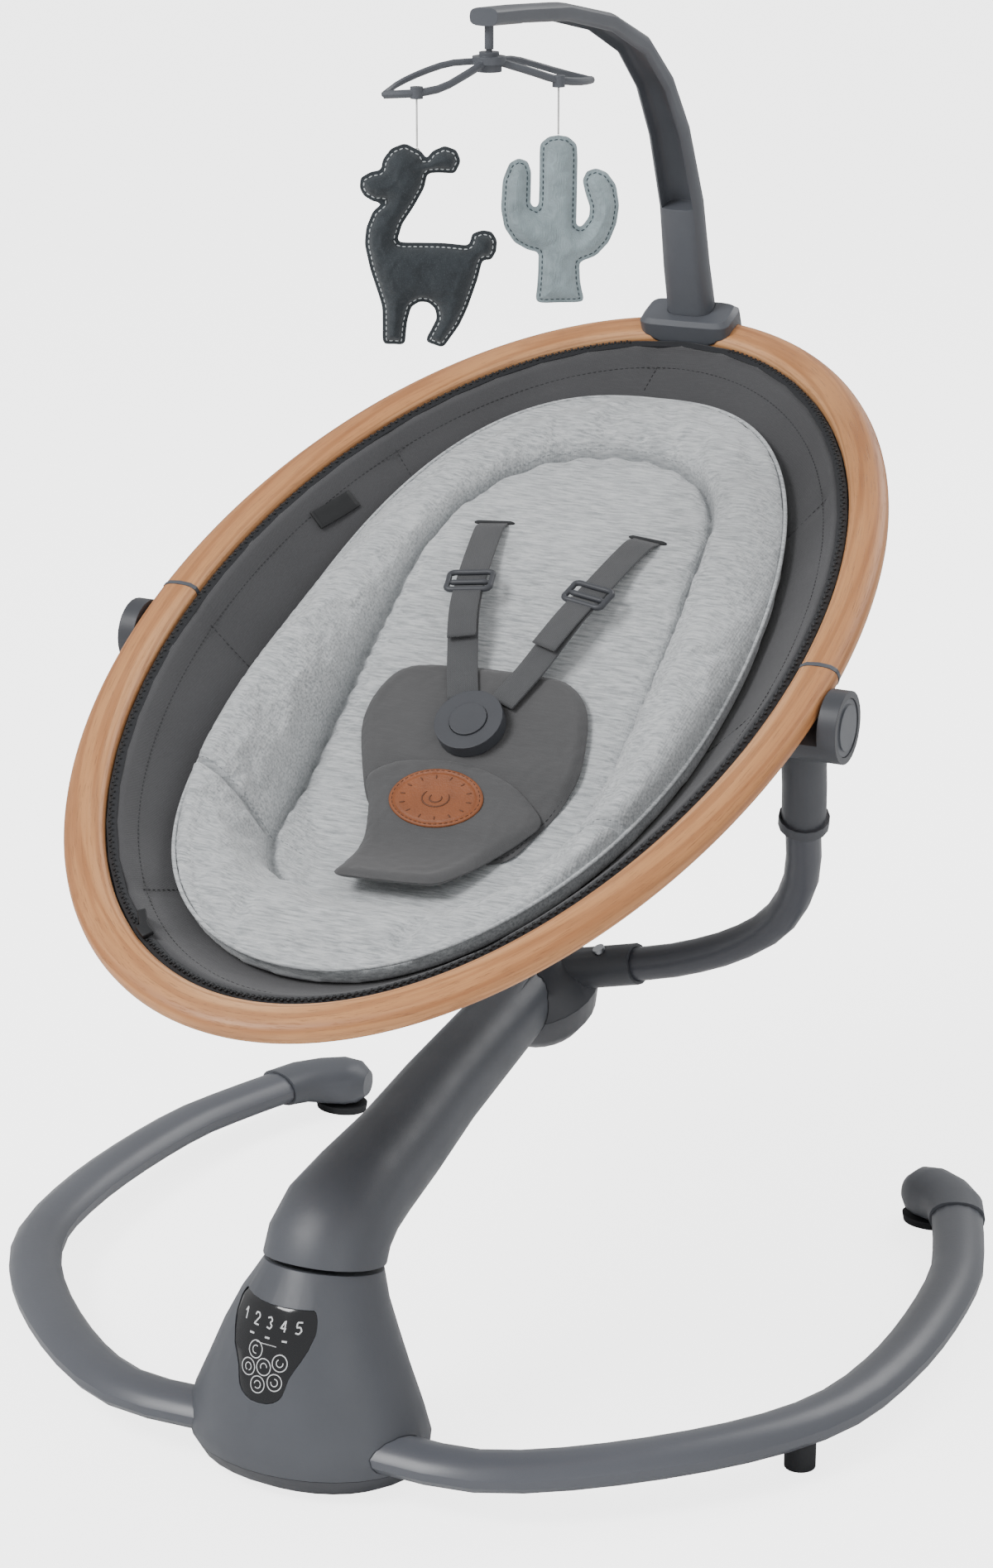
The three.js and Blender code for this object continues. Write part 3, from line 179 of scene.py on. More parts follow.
def open_curve(points, count):
    p = np.asarray(points, float)
    p = np.vstack([2 * p[0] - p[1], p, 2 * p[-1] - p[-2]])
    fine = []
    for i in range(1, len(p) - 2):
        a, b, c, d = p[i - 1 : i + 3]
        for t in np.linspace(0, 1, 13)[:-1]:
            fine.append(0.5 * (2 * b + (c - a) * t + (2 * a - 5 * b + 4 * c - d) * t**2 + (3 * b - a - 3 * c + d) * t**3))
    fine.append(p[-2])
    return even(np.array(fine), count, False)


def even(points, count, closed):
    path = np.vstack([points, points[:1]]) if closed else points
    far = np.concatenate([[0], np.cumsum(np.linalg.norm(np.diff(path, axis=0), axis=1))])
    at = np.linspace(0, far[-1], count + 1)[:-1] if closed else np.linspace(0, far[-1], count)
    return np.stack([np.interp(at, far, path[:, k]) for k in range(path.shape[1])], 1)


def edge_distance(xy, outline):
    """Distance of each point to a closed outline."""
    a, b = outline, np.roll(outline, -1, 0)
    best = np.full(len(xy), 1e9)
    for p, q in zip(a, b):
        d = q - p
        t = np.clip(((xy - p) @ d) / max(d @ d, 1e-12), 0, 1)
        best = np.minimum(best, np.hypot(*(xy - p - t[:, None] * d).T))
    return best


def inset(outline, distance):
    """The outline moved inwards, whichever way round it runs."""
    ahead = np.roll(outline, -1, 0) - np.roll(outline, 1, 0)
    normal = np.stack([-ahead[:, 1], ahead[:, 0]], 1)
    normal /= np.linalg.norm(normal, axis=1)[:, None]
    x, y = outline.T
    turn = np.sign(np.sum(x * np.roll(y, -1) - np.roll(x, -1) * y))
    return outline + normal * turn * distance


def pillow(name, outline, thickness, voxel, selvage, crown):
    """A flat stuffed shape in its own xy plane: a thin edge, then a rounded rise to the full thickness."""
    half = thickness / 2
    bm = bmesh.new()
    low = [bm.verts.new((x, y, -half)) for x, y in outline]
    high = [bm.verts.new((x, y, half)) for x, y in outline]
    bm.faces.new(low[::-1])
    bm.faces.new(high)
    for i in range(len(low)):
        j = (i + 1) % len(low)
        bm.faces.new((low[i], low[j], high[j], high[i]))
    bmesh.ops.recalc_face_normals(bm, faces=bm.faces)
    mesh = bpy.data.meshes.new(name)
    bm.to_mesh(mesh)
    bm.free()
    obj = bpy.data.objects.new(name, mesh)
    scene.collection.objects.link(obj)
    remesh(obj, voxel)
    co = points_of(obj)
    d = edge_distance(co[:, :2], outline)
    rise = np.sqrt(np.clip(1 - (1 - np.clip((d - selvage[0]) / crown, 0, 1)) ** 2, 0, 1))
    co[:, 2] *= (selvage[1] + (half - selvage[1]) * rise) / half
    set_points(obj, co)
    return obj, d


def inflate(obj, free, pressure, cap, puff=0.015, frames=18, bending=0.6):
    """Cloth under pressure: free is 1 where the cloth can move and 0 where it is sewn down. Coordinates are metres."""
    before = points_of(obj)
    group = obj.vertex_groups.new(name="sewn")
    for i, f in enumerate(free):
        group.add([i], float(1 - f), "REPLACE")
    cloth = obj.modifiers.new("cloth", "CLOTH")
    s = cloth.settings
    s.quality, s.mass, s.air_damping = 4, 0.2, 3
    s.tension_stiffness = s.compression_stiffness = 12
    s.shear_stiffness, s.bending_stiffness = 4, bending
    s.use_pressure, s.uniform_pressure_force = True, pressure
    s.vertex_group_mass = "sewn"
    s.shrink_min = -puff
    s.effector_weights.gravity = 0
    cloth.collision_settings.use_collision = False
    cloth.point_cache.frame_start, cloth.point_cache.frame_end = 1, frames
    for f in range(1, frames + 1):
        scene.frame_set(f)
    graph = bpy.context.evaluated_depsgraph_get()
    result = obj.evaluated_get(graph).to_mesh()
    after = np.zeros(len(before) * 3)
    result.vertices.foreach_get("co", after)
    move = after.reshape(-1, 3) - before
    size = np.linalg.norm(move, axis=1)[:, None]
    move *= np.minimum(1, cap / np.maximum(size, 1e-9))
    obj.modifiers.remove(cloth)
    obj.vertex_groups.remove(group)
    scene.frame_set(1)
    set_points(obj, before + np.nan_to_num(move))


def tube(path, radius, sides=6, closed=False):
    """Vertices and faces of a round tube along a path."""
    path = np.asarray(path, float)
    points, faces = [], []
    count = len(path)
    for i in range(count):
        if closed:
            ahead = path[(i + 1) % count] - path[i - 1]
        else:
            ahead = path[min(i + 1, count - 1)] - path[max(i - 1, 0)]
        ahead = Vector(ahead).normalized()
        side = ahead.orthogonal() if abs(ahead.z) > 0.95 else ahead.cross(Vector((0, 0, 1)))
        side.normalize()
        other = ahead.cross(side)
        size = radius if closed or 0 < i < count - 1 else radius * 0.45
        for k in range(sides):
            a = 2 * math.pi * k / sides
            points.append(Vector(path[i]) + (side * math.cos(a) + other * math.sin(a)) * size)
    for i in range(count if closed else count - 1):
        for k in range(sides):
            a, b = i * sides + k, i * sides + (k + 1) % sides
            n = ((i + 1) % count) * sides
            faces.append((a, b, n + (k + 1) % sides, n + k))
    if not closed:
        faces.append(tuple(range(sides))[::-1])
        faces.append(tuple(range((count - 1) * sides, count * sides)))
    return points, faces


def stitches(name, paths, body, material, dash=2.6, gap=1.5, radius=0.33):
    """Short raised threads along each path; paths are row-frame metres."""
    points, faces = [], []
    for path in paths:
        path = np.asarray(path)
        far = np.concatenate([[0], np.cumsum(np.linalg.norm(np.diff(path, axis=0), axis=1))]) / MM
        at = 0.6
        while at + dash < far[-1]:
            one = [[np.interp(t, far, path[:, k]) for k in range(3)] for t in np.linspace(at, at + dash, 4)]
            p, f = tube(one, radius * MM, 5)
            faces += [tuple(i + len(points) for i in face) for face in f]
            points += p
            at += dash + gap
    return add_piece(name, points, faces, body, material)


# ---- Materials ----
class Look:
    """A node material with a few shorthands. Patterns use object coordinates, so they ride with the piece."""

    def __init__(self, name):
        self.material = bpy.data.materials.new(name)
        self.material.use_nodes = True
        self.tree = self.material.node_tree
        self.bsdf = self.tree.nodes["Principled BSDF"]
        self.coords = self.node("ShaderNodeTexCoord").outputs["Object"]

    def node(self, kind, inputs=None, **settings):
        made = self.tree.nodes.new(kind)
        for key, value in settings.items():
            setattr(made, key, value)
        for key, value in (inputs or {}).items():
            self.put(made.inputs[key], value)
        return made

    def put(self, socket, value):
        if isinstance(value, bpy.types.NodeSocket):
            self.tree.links.new(value, socket)
        else:
            socket.default_value = value

    def math(self, operation, *values, clamp=False):
        made = self.node("ShaderNodeMath", operation=operation, use_clamp=clamp)
        for socket, value in zip(made.inputs, values):
            self.put(socket, value)
        return made.outputs[0]

    def mapped(self, scale=(1, 1, 1), turn=(0, 0, 0), source=None):
        mapping = self.node("ShaderNodeMapping", {"Vector": source or self.coords, "Scale": scale, "Rotation": turn})
        return mapping.outputs[0]

    def noise(self, scale, detail=3, rough=0.5, vector=None, distortion=0):
        made = self.node("ShaderNodeTexNoise", {"Vector": vector or self.coords, "Scale": scale, "Detail": detail,
                                                "Roughness": rough, "Distortion": distortion})
        return made.outputs[0]

    def wave(self, scale, vector, axis="X", distortion=0, detail=2, profile="SIN"):
        made = self.node("ShaderNodeTexWave", {"Vector": vector, "Scale": scale, "Distortion": distortion,
                                               "Detail": detail}, bands_direction=axis, wave_profile=profile)
        return made.outputs["Fac"]

    def ramp(self, value, *stops):
        made = self.node("ShaderNodeValToRGB", {"Fac": value})
        elements = made.color_ramp.elements
        while len(elements) < len(stops):
            elements.new(0.5)
        for element, (at, colour) in zip(elements, stops):
            element.position, element.color = at, colour
        return made.outputs[0]

    def range(self, value, low, high, from_low=0.0, from_high=1.0):
        made = self.node("ShaderNodeMapRange", {"Value": value, "From Min": from_low, "From Max": from_high,
                                                "To Min": low, "To Max": high})
        return made.outputs[0]

    def mix(self, factor, a, b, kind="MIX"):
        made = self.node("ShaderNodeMix", data_type="RGBA", blend_type=kind)
        self.put(made.inputs[0], factor)
        self.put(made.inputs[6], a)
        self.put(made.inputs[7], b)
        return made.outputs[2]

    def rounded(self, radius):
        return self.node("ShaderNodeBevel", {"Radius": radius * MM}, samples=4).outputs[0]

    def bump(self, height, distance, normal=None, strength=1.0):
        made = self.node("ShaderNodeBump", {"Height": height, "Distance": distance * MM, "Strength": strength})
        if normal:
            self.put(made.inputs["Normal"], normal)
        return made.outputs[0]

    def edge(self, normal):
        """1 at a convex or concave edge, 0 on a flat face."""
        true = self.node("ShaderNodeNewGeometry").outputs["Normal"]
        dot = self.node("ShaderNodeVectorMath", {0: normal, 1: true}, operation="DOT_PRODUCT").outputs["Value"]
        return self.range(dot, 1, 0, 0.75, 0.99)

    def finish(self, **inputs):
        for key, value in inputs.items():
            self.put(self.bsdf.inputs[key.replace("_", " ")], value)
        return self.material


def rgb(value, gain=1.0):
    """A display colour such as 0x64676c as linear RGBA."""
    parts = [((value >> s) & 255) / 255 for s in (16, 8, 0)]
    linear = [c / 12.92 if c < 0.04045 else ((c + 0.055) / 1.055) ** 2.4 for c in parts]
    return (*[min(c * gain, 1) for c in linear], 1)


def plastic(name, colour, rough, edge_radius=0.7, grain=0.06):
    look = Look(name)
    rounded = look.rounded(edge_radius)
    base = look.mix(look.range(look.noise(14, 4), 0, 1, 0.3, 0.7), rgb(colour, 0.93), rgb(colour, 1.08))
    worn = look.math("MULTIPLY", look.edge(rounded), look.range(look.noise(260, 3), 0, 0.5, 0.35, 0.7))
    base = look.mix(worn, base, rgb(colour, 1.75))
    fine = look.noise(2600, 2)
    roughness = look.range(look.noise(40, 4), rough - 0.05, rough + 0.06, 0.3, 0.7)
    return look.finish(Base_Color=base, Roughness=roughness, Normal=look.bump(fine, grain, rounded),
                       Specular_IOR_Level=0.45)


def painted(name, colour, rough):
    look = Look(name)
    rounded = look.rounded(0.6)
    base = look.mix(look.range(look.noise(9, 3), 0, 1, 0.3, 0.7), rgb(colour, 0.95), rgb(colour, 1.06))
    flake = look.range(look.noise(5200, 1), 0.96, 1.08, 0.35, 0.65)
    base = look.mix(1.0, base, flake, "MULTIPLY")
    ripple = look.noise(420, 2)
    return look.finish(Base_Color=base, Roughness=look.range(look.noise(60, 3), rough - 0.04, rough + 0.05),
                       Normal=look.bump(ripple, 0.05, rounded), Coat_Weight=0.25, Coat_Roughness=0.28)


def metal(name, colour, rough):
    look = Look(name)
    brushed = look.noise(900, 3, vector=look.mapped((1, 1, 0.05)))
    base = look.mix(look.noise(30, 3), rgb(colour, 0.85), rgb(colour, 1.1))
    return look.finish(Base_Color=base, Metallic=1.0, Roughness=look.range(brushed, rough - 0.08, rough + 0.12),
                       Normal=look.bump(brushed, 0.03, look.rounded(0.4)))


def wood(name):
    """Light oak with its grain running round the ring."""
    look = Look(name)
    c, s = math.cos(SEAT_TILT), math.sin(SEAT_TILT)
    split = look.node("ShaderNodeSeparateXYZ", {0: look.coords}).outputs
    dy = look.math("SUBTRACT", split[1], PIVOT.y)
    dz = look.math("SUBTRACT", split[2], PIVOT.z)
    v = look.math("SUBTRACT", look.math("ADD", look.math("MULTIPLY", dy, c), look.math("MULTIPLY", dz, s)), AHEAD * MM)
    w = look.math("SUBTRACT", look.math("SUBTRACT", look.math("MULTIPLY", dz, c), look.math("MULTIPLY", dy, s)), ABOVE * MM)
    across = look.math("DIVIDE", split[0], RING_X * MM)
    ahead = look.math("DIVIDE", v, RING_V * MM)
    angle = look.math("ARCTAN2", across, ahead)
    reach = look.math("SQRT", look.math("ADD", look.math("POWER", across, 2.0), look.math("POWER", ahead, 2.0)))
    radial = look.math("MULTIPLY", look.math("SUBTRACT", reach, 1.0), 0.27)
    along = look.math("MULTIPLY", look.math("ABSOLUTE", angle), 0.28)
    joined = look.node("ShaderNodeCombineXYZ", {0: along, 1: radial, 2: w}).outputs[0]
    stretched = look.mapped((1.6, 26, 26), source=joined)
    warp = look.noise(1.0, 4, 0.55, stretched, 0.4)
    rings = look.wave(1.0, look.mapped((2.2, 62, 95), source=joined), "DIAGONAL", 9.0, 3)
    fine = look.noise(1.0, 3, 0.6, look.mapped((5, 420, 420), source=joined))
    pores = look.noise(1.0, 4, 0.7, look.mapped((60, 1500, 1500), source=joined))
    pores = look.range(pores, 0, 1, 0.57, 0.66)
    plank = look.noise(1.0, 2, 0.5, look.mapped((9, 30, 30), source=joined))
    base = look.ramp(warp, (0.32, rgb(0xC07F4C)), (0.5, rgb(0xDA9A63)), (0.66, rgb(0xECB481)))
    dark = look.range(rings, 0, 0.5, 0.55, 0.97)
    base = look.mix(dark, base, rgb(0xA05F33))
    base = look.mix(look.range(fine, 0, 0.45, 0.5, 0.7), base, rgb(0xA9683B))
    base = look.mix(look.math("MULTIPLY", pores, 0.5), base, rgb(0x7E4A26))
    base = look.mix(look.range(plank, 0, 0.22, 0.35, 0.7), base, rgb(0xE2A873))
    height = look.math("SUBTRACT", look.math("MULTIPLY", rings, -0.25), look.math("MULTIPLY", pores, 0.8))
    return look.finish(Base_Color=base, Roughness=look.range(warp, 0.4, 0.56), Normal=look.bump(height, 0.09),
                       Coat_Weight=0.12, Coat_Roughness=0.3)


def weave(look, pitch, turn=(0, 0, 0), source=None):
    """Two crossed sets of threads of that pitch in millimetres."""
    scale = 1 / (pitch * MM) / 3.183
    vector = look.mapped((1, 1, 1), turn, source)
    a = look.wave(scale, vector, "X", 0.6, 1)
    b = look.wave(scale, vector, "Y", 0.6, 1)
    return look.math("MAXIMUM", a, b)


def cloth(name, colour, pitch=1.1, rough=0.88, sheen=0.25, slub=0.09, strength=0.16, crease=0.5):
    look = Look(name)
    threads = weave(look, pitch, (-SEAT_TILT, 0, 0))
    base = look.mix(look.range(look.noise(22, 4), 0, 1, 0.3, 0.7), rgb(colour, 1 - slub), rgb(colour, 1 + slub))
    streak = look.noise(1.0, 3, 0.6, look.mapped((70, 900, 900), (-SEAT_TILT, 0, 0)))
    base = look.mix(look.range(streak, 0, 0.5, 0.45, 0.75), base, rgb(colour, 1.22))
    base = look.mix(look.range(threads, 0.22, 0, 0.2, 0.8), base, rgb(colour, 0.7))
    folds = look.noise(34, 3, 0.5, distortion=0.6)
    normal = look.bump(folds, crease)
    return look.finish(Base_Color=base, Roughness=rough, Normal=look.bump(threads, strength, normal),
                       Sheen_Weight=sheen, Sheen_Roughness=0.45, Specular_IOR_Level=0.25)


def jersey(name):
    """Soft grey melange knit with fine slubs across the cushion, and painted shade that darkens its sewn creases."""
    look = Look(name)
    turn = (-SEAT_TILT, 0, 0)
    slubs = look.noise(1.0, 5, 0.62, look.mapped((75, 620, 620), turn))
    flecks = look.noise(1.0, 3, 0.7, look.mapped((260, 1500, 1500), turn))
    clouds = look.noise(16, 3)
    base = look.ramp(slubs, (0.34, rgb(0x999DA0)), (0.5, rgb(0xC3C6C8)), (0.66, rgb(0xDEE0E1)))
    base = look.mix(look.range(flecks, 0, 0.55, 0.56, 0.72), base, rgb(0x8A8F93))
    base = look.mix(look.range(clouds, 0, 0.25, 0.3, 0.7), base, rgb(0xD4D7D8))
    # Painted shade: the crease layer darkens the cushion's sewn creases towards 0x707477.
    sewn = look.node("ShaderNodeAttribute", attribute_name="crease").outputs["Fac"]
    base = look.mix(look.math("MULTIPLY", sewn, 0.6), base, rgb(0x707477))
    ribs = look.wave(1 / (1.3 * MM) / 3.183, look.mapped((1, 1, 1), turn), "X", 0.8, 1)
    puckers = look.noise(1.0, 4, 0.55, look.mapped((42, 90, 90), turn), 0.8)
    height = look.math("ADD", look.math("MULTIPLY", slubs, 0.5), look.math("MULTIPLY", ribs, 0.3))
    normal = look.bump(puckers, 0.9)
    return look.finish(Base_Color=base, Roughness=0.95, Normal=look.bump(height, 0.22, normal), Sheen_Weight=0.35,
                       Sheen_Roughness=0.5, Specular_IOR_Level=0.2)


def felt(name, colour, fleck, pitch=0.0):
    look = Look(name)
    fuzz = look.noise(1500, 5, 0.7)
    base = look.mix(look.range(look.noise(120, 4), 0, 1, 0.3, 0.7), rgb(colour, 0.85), rgb(colour, 1.15))
    base = look.mix(look.range(fuzz, 0, 0.6, 0.52, 0.68), base, rgb(fleck))
    height = weave(look, pitch) if pitch else fuzz
    return look.finish(Base_Color=base, Roughness=0.95, Normal=look.bump(height, 0.2, look.bump(look.noise(70, 3), 0.6)),
                       Sheen_Weight=0.4, Specular_IOR_Level=0.2)


def webbing(name, colour):
    """Flat woven strap; its UV runs across and along in millimetres."""
    look = Look(name)
    uv = look.node("ShaderNodeUVMap").outputs[0]
    twill = look.wave(1.0, look.mapped((0.42, 0.42, 1), (0, 0, math.radians(32)), uv), "X", 0.2, 1)
    ribs = look.wave(1.0, look.mapped((0.24, 0.24, 1), source=uv), "X", 0.0, 0)
    base = look.mix(look.range(twill, 0, 0.55), rgb(colour, 1.12), rgb(colour, 0.7))
    base = look.mix(look.range(look.noise(90, 4), 0, 0.25, 0.4, 0.7), base, rgb(colour, 1.35))
    height = look.math("ADD", twill, look.math("MULTIPLY", ribs, 0.5))
    return look.finish(Base_Color=base, Roughness=0.72, Normal=look.bump(height, 0.18), Sheen_Weight=0.15,
                       Specular_IOR_Level=0.35)


def leather(name, colour):
    look = Look(name)
    pores = look.node("ShaderNodeTexVoronoi", {"Vector": look.coords, "Scale": 900}).outputs["Distance"]
    base = look.mix(look.range(look.noise(55, 5, 0.6), 0, 1, 0.3, 0.7), rgb(colour, 0.8), rgb(colour, 1.12))
    base = look.mix(look.range(pores, 0.25, 0, 0, 0.6), base, rgb(colour, 0.55))
    return look.finish(Base_Color=base, Roughness=look.range(pores, 0.62, 0.48), Normal=look.bump(pores, 0.12, look.rounded(0.8)))


def glossy(name, colour, rough):
    look = Look(name)
    smear = look.noise(30, 5, 0.6, distortion=1.2)
    base = look.mix(look.noise(12, 2), rgb(colour, 0.9), rgb(colour, 1.2))
    return look.finish(Base_Color=base, Roughness=look.range(smear, rough, rough + 0.1, 0.35, 0.75),
                       Normal=look.rounded(0.5), Coat_Weight=0.5, Coat_Roughness=0.05)


def simple(name, colour, rough, bump_scale=900, bump=0.05):
    look = Look(name)
    base = look.mix(look.range(look.noise(80, 4), 0, 1, 0.3, 0.7), rgb(colour, 0.9), rgb(colour, 1.1))
    return look.finish(Base_Color=base, Roughness=rough, Normal=look.bump(look.noise(bump_scale, 3), bump))


SHELL = plastic("shell_plastic", 0x595C62, 0.4)
DARK = plastic("dark_plastic", 0x46484D, 0.42)
BLACK = plastic("black_plastic", 0x1E1F22, 0.5)
PAINT = painted("tube_paint", 0x5C5F66, 0.38)
PAINT_DARK = painted("tube_paint_dark", 0x46484F, 0.4)
PANEL = glossy("panel_gloss", 0x1B1C1F, 0.1)
STEEL = metal("steel", 0xB8BBBF, 0.3)
COPPER = metal("copper_winding", 0xB26A3C, 0.35)
BOARD = simple("board", 0x1F4A33, 0.5)
WOOD = wood("wood")
BOWL = cloth("bowl_cloth", 0x505052, 1.0, 0.85, 0.2, 0.05, 0.1, 0.5)
BOWL_TRIM = cloth("trim_cloth", 0x2E2F32, 0.9, 0.8, 0.15, 0.05, 0.12, 0.1)
JERSEY = jersey("jersey")
PAD = cloth("pad_cloth", 0x5B5B5C, 0.8, 0.85, 0.2, 0.05, 0.08, 0.25)
WEB = webbing("webbing", 0x545557)
LEATHER = leather("leather", 0x94552F)
LEATHER_MARK = leather("leather_mark", 0x71452C)
LLAMA = felt("llama_cloth", 0x363B3F, 0x53595D)
CACTUS = felt("cactus_cloth", 0xA0B0B5, 0xBCC9CD, 0.7)
STRING = felt("string", 0xF0F0EE, 0xFFFFFF, 0.5)
RUBBER = simple("rubber", 0x2A2B2E, 0.8, 700, 0.1)
THREAD_LIGHT = simple("thread_light", 0xCDD3D5, 0.8)
THREAD_DARK = simple("thread_dark", 0x48545A, 0.8)
THREAD_GREY = simple("thread_grey", 0x333436, 0.8)
THREAD_JERSEY = simple("thread_jersey", 0xA4A8AB, 0.85)
PRINT = simple("print", 0xE8EAEC, 0.5)
LABEL = simple("label", 0x1E1F21, 0.6)
BY_SLOT = {
    "shell_plastic": SHELL, "dark_plastic": DARK, "black_plastic": BLACK, "panel_gloss": PANEL, "tube_paint": PAINT,
    "tube_paint_dark": PAINT_DARK, "steel": STEEL, "copper_winding": COPPER, "board": BOARD, "wood": WOOD,
    "bowl_cloth": BOWL, "jersey": JERSEY, "pad_cloth": PAD, "webbing": WEB, "leather": LEATHER,
    "llama_cloth": LLAMA, "cactus_cloth": CACTUS, "string": STRING, "rubber": RUBBER,
}


def dress_frame():
    """Smooth shading and materials for the CAD nodes, by the record's material slots."""
    for item in frame["record"]["subparts"]:
        obj = frame["nodes"][item["node"]]
        obj.data.materials.clear()
        obj.data.materials.append(BY_SLOT[item["material_slot"]])
    for obj in frame["nodes"].values():
        shade(obj)
        obj.modifiers.new("weld", "WELD").merge_threshold = 1e-5
        split = obj.modifiers.new("split", "EDGE_SPLIT")
        split.split_angle = math.radians(34)
        split.use_edge_sharp = False
    for name in ("zip_trim_head", "zip_trim_foot"):
        frame["nodes"][name].data.materials[0] = BOWL_TRIM
    frame["nodes"]["buckle_button"].data.materials[0] = DARK


dress_frame()

# ---- Seat surfaces ----
BOWL_X, BOWL_V, BOWL_DEPTH, BOWL_WALL = 195.1, 326.2, 104, 4
INSERT_X, INSERT_V, INSERT_MIDDLE, SQUARE = 154, 283, -3, 2.35
PANEL_LEVELS = [(-290, -40), (-150, -76), (-105, -73), (-50, -59), (0, -45), (60, -30), (118, -19), (278, -26)]
PANEL_LINE = open_curve(PANEL_LEVELS, 200)
SEAM = closed_curve([(0, 224), (38, 216), (66, 194), (85, 158), (94, 110), (99, 40), (101, -50), (99, -115),
                     (88, -158), (62, -184), (0, -193), (-62, -184), (-88, -158), (-99, -115), (-101, -50),
                     (-99, 40), (-94, 110), (-85, 158), (-66, 194), (-38, 216)], 360)
SEAM_ANGLE = np.arctan2(SEAM[:, 0], SEAM[:, 1] - INSERT_MIDDLE)
SEAM_ORDER = np.argsort(SEAM_ANGLE)
SEAM_REACH = np.hypot(SEAM[:, 0], SEAM[:, 1] - INSERT_MIDDLE)


def bowl_floor(x, v, half_x=BOWL_X - 2, half_v=BOWL_V - 2):
    reach = np.clip(np.hypot(x / half_x, v / half_v), 0, 1)
    forward = np.clip(v / half_v, -1, 1)
    return -4 - BOWL_DEPTH * (1 - 0.2 * forward - 0.12 * forward**2) * (1 - reach**2.1) - RING_BOW * forward**2


def panel_height(v):
    return np.interp(v, PANEL_LINE[:, 0], PANEL_LINE[:, 1])


def outer_reach(angle):
    """Distance from the cushion's middle to its edge in a direction."""
    s, c = np.abs(np.sin(angle)) / INSERT_X, np.abs(np.cos(angle)) / INSERT_V
    return (s**SQUARE + c**SQUARE) ** (-1 / SQUARE)


def insert_top(x, v):
    """The cushion's top: a sewn-in panel inside a round roll, with a seam across the roll on each side."""
    angle = np.arctan2(x, v - INSERT_MIDDLE)
    far = np.hypot(x, v - INSERT_MIDDLE)
    seam = np.interp(angle, SEAM_ANGLE[SEAM_ORDER], SEAM_REACH[SEAM_ORDER], period=2 * math.pi)
    outer = outer_reach(angle)
    panel = panel_height(v) + 3 * (1 - np.exp(-((np.maximum(seam - far, 0) / 9) ** 2)))
    u = np.clip((far - seam) / (outer - seam), 0, 1)
    crest = -9 - 19 * np.maximum(0, -np.cos(angle)) ** 2
    edge = bowl_floor(x, v) + 13
    level = panel_height(v) * (1 - u) + edge * u
    middle = (panel_height(v) + edge) / 2
    roll = level + np.maximum(crest - middle, 8) * (1 - np.abs(2 * u**1.15 - 1) ** 2.3) ** 0.62
    top = np.where(far < seam, panel, roll)
    return np.maximum(top, bowl_floor(x, v) + 10)


def under_pad(v):
    """The surface the crotch pad lies on, as the CAD has it."""
    bend = lambda share: np.sign(share) * np.abs(share) ** (SQUARE / 2)
    across, ahead = bend(42 / INSERT_X), bend((v - INSERT_MIDDLE) / INSERT_V)
    reach = np.hypot(across, ahead) ** (2 / SQUARE)
    crest = -6 - 22 * np.maximum(0, -np.cos(np.arctan2(across, ahead))) ** 2
    share = smoothstep(reach, 0.5, 0.78)
    return panel_height(v) * (1 - share) + crest * share


def disc(rows, count, point, lower):
    """Vertices and faces of a closed dish: rows of growing reach on top, and the same rows underneath."""
    points, faces = [], []
    for surface in (point, lower):
        start = len(points)
        points.append(surface(0.0, np.zeros(1))[0])
        for reach in rows:
            points.extend(surface(reach, np.arange(count) / count * 2 * math.pi))
        for k in range(count):
            faces.append((start, start + 1 + k, start + 1 + (k + 1) % count))
        for r in range(len(rows) - 1):
            for k in range(count):
                a, b = start + 1 + r * count + k, start + 1 + r * count + (k + 1) % count
                faces.append((a, b, b + count, a + count))
    last = 1 + (len(rows) - 1) * count
    below = len(points) // 2 + last
    for k in range(count):
        faces.append((last + k, last + (k + 1) % count, below + (k + 1) % count, below + k))
    return np.array(points), faces


# ---- Wooden ring ----
def make_ring():
    """Each half of the ring as a fine sweep of its rounded section."""
    section = []
    for k in range(32):
        a = 2 * math.pi * k / 32
        c, s = math.cos(a), math.sin(a)
        section.append((math.copysign(abs(c) ** (2 / 2.6), c) * 12.5, math.copysign(abs(s) ** (2 / 2.6), s) * 7.5))
    past = math.asin(1.8 / RING_V)
    for name, first in (("head", -math.pi / 2), ("foot", math.pi / 2)):
        points, faces = [], []
        rows = 150
        for i in range(rows + 1):
            angle = first + past + (math.pi - 2 * past) * i / rows
            centre, out = ring_point(angle, 0)
            points += [tuple(centre + out * a + Vector((0, 0, b))) for a, b in section]
        for i in range(rows):
            for k in range(32):
                a, b = i * 32 + k, i * 32 + (k + 1) % 32
                faces.append((a, b, b + 32, a + 32))
        faces += [tuple(range(32))[::-1], tuple(range(rows * 32, rows * 32 + 32))]
        obj = add_piece(f"ring_{name}", seat_points(points), faces, "seat", WOOD, [f"ring_wood_{name}"])
        split = obj.modifiers.new("split", "EDGE_SPLIT")
        split.split_angle = math.radians(60)


def ring_point(angle, inward, w=0.0):
    """A point inside the wooden ring, measured inwards along its normal."""
    p = np.array([RING_X * math.sin(angle), RING_V * math.cos(angle)])
    n = np.array([p[0] / RING_X**2, p[1] / RING_V**2])
    n /= np.linalg.norm(n)
    x, v = p - n * inward
    return Vector((x, v, w - RING_BOW * math.cos(angle) ** 2)), Vector((n[0], n[1], 0))


# ---- Bowl ----
BOWL_SEAMS = [((155, 186), (118, 158)), ((-155, 186), (-118, 158)), ((-112, -259), (-98, -228)),
              ((112, -259), (98, -228)), ((-15, 324), (-20, 296)), ((190, -20), (150, -30)), ((-190, -20), (-150, -30))]


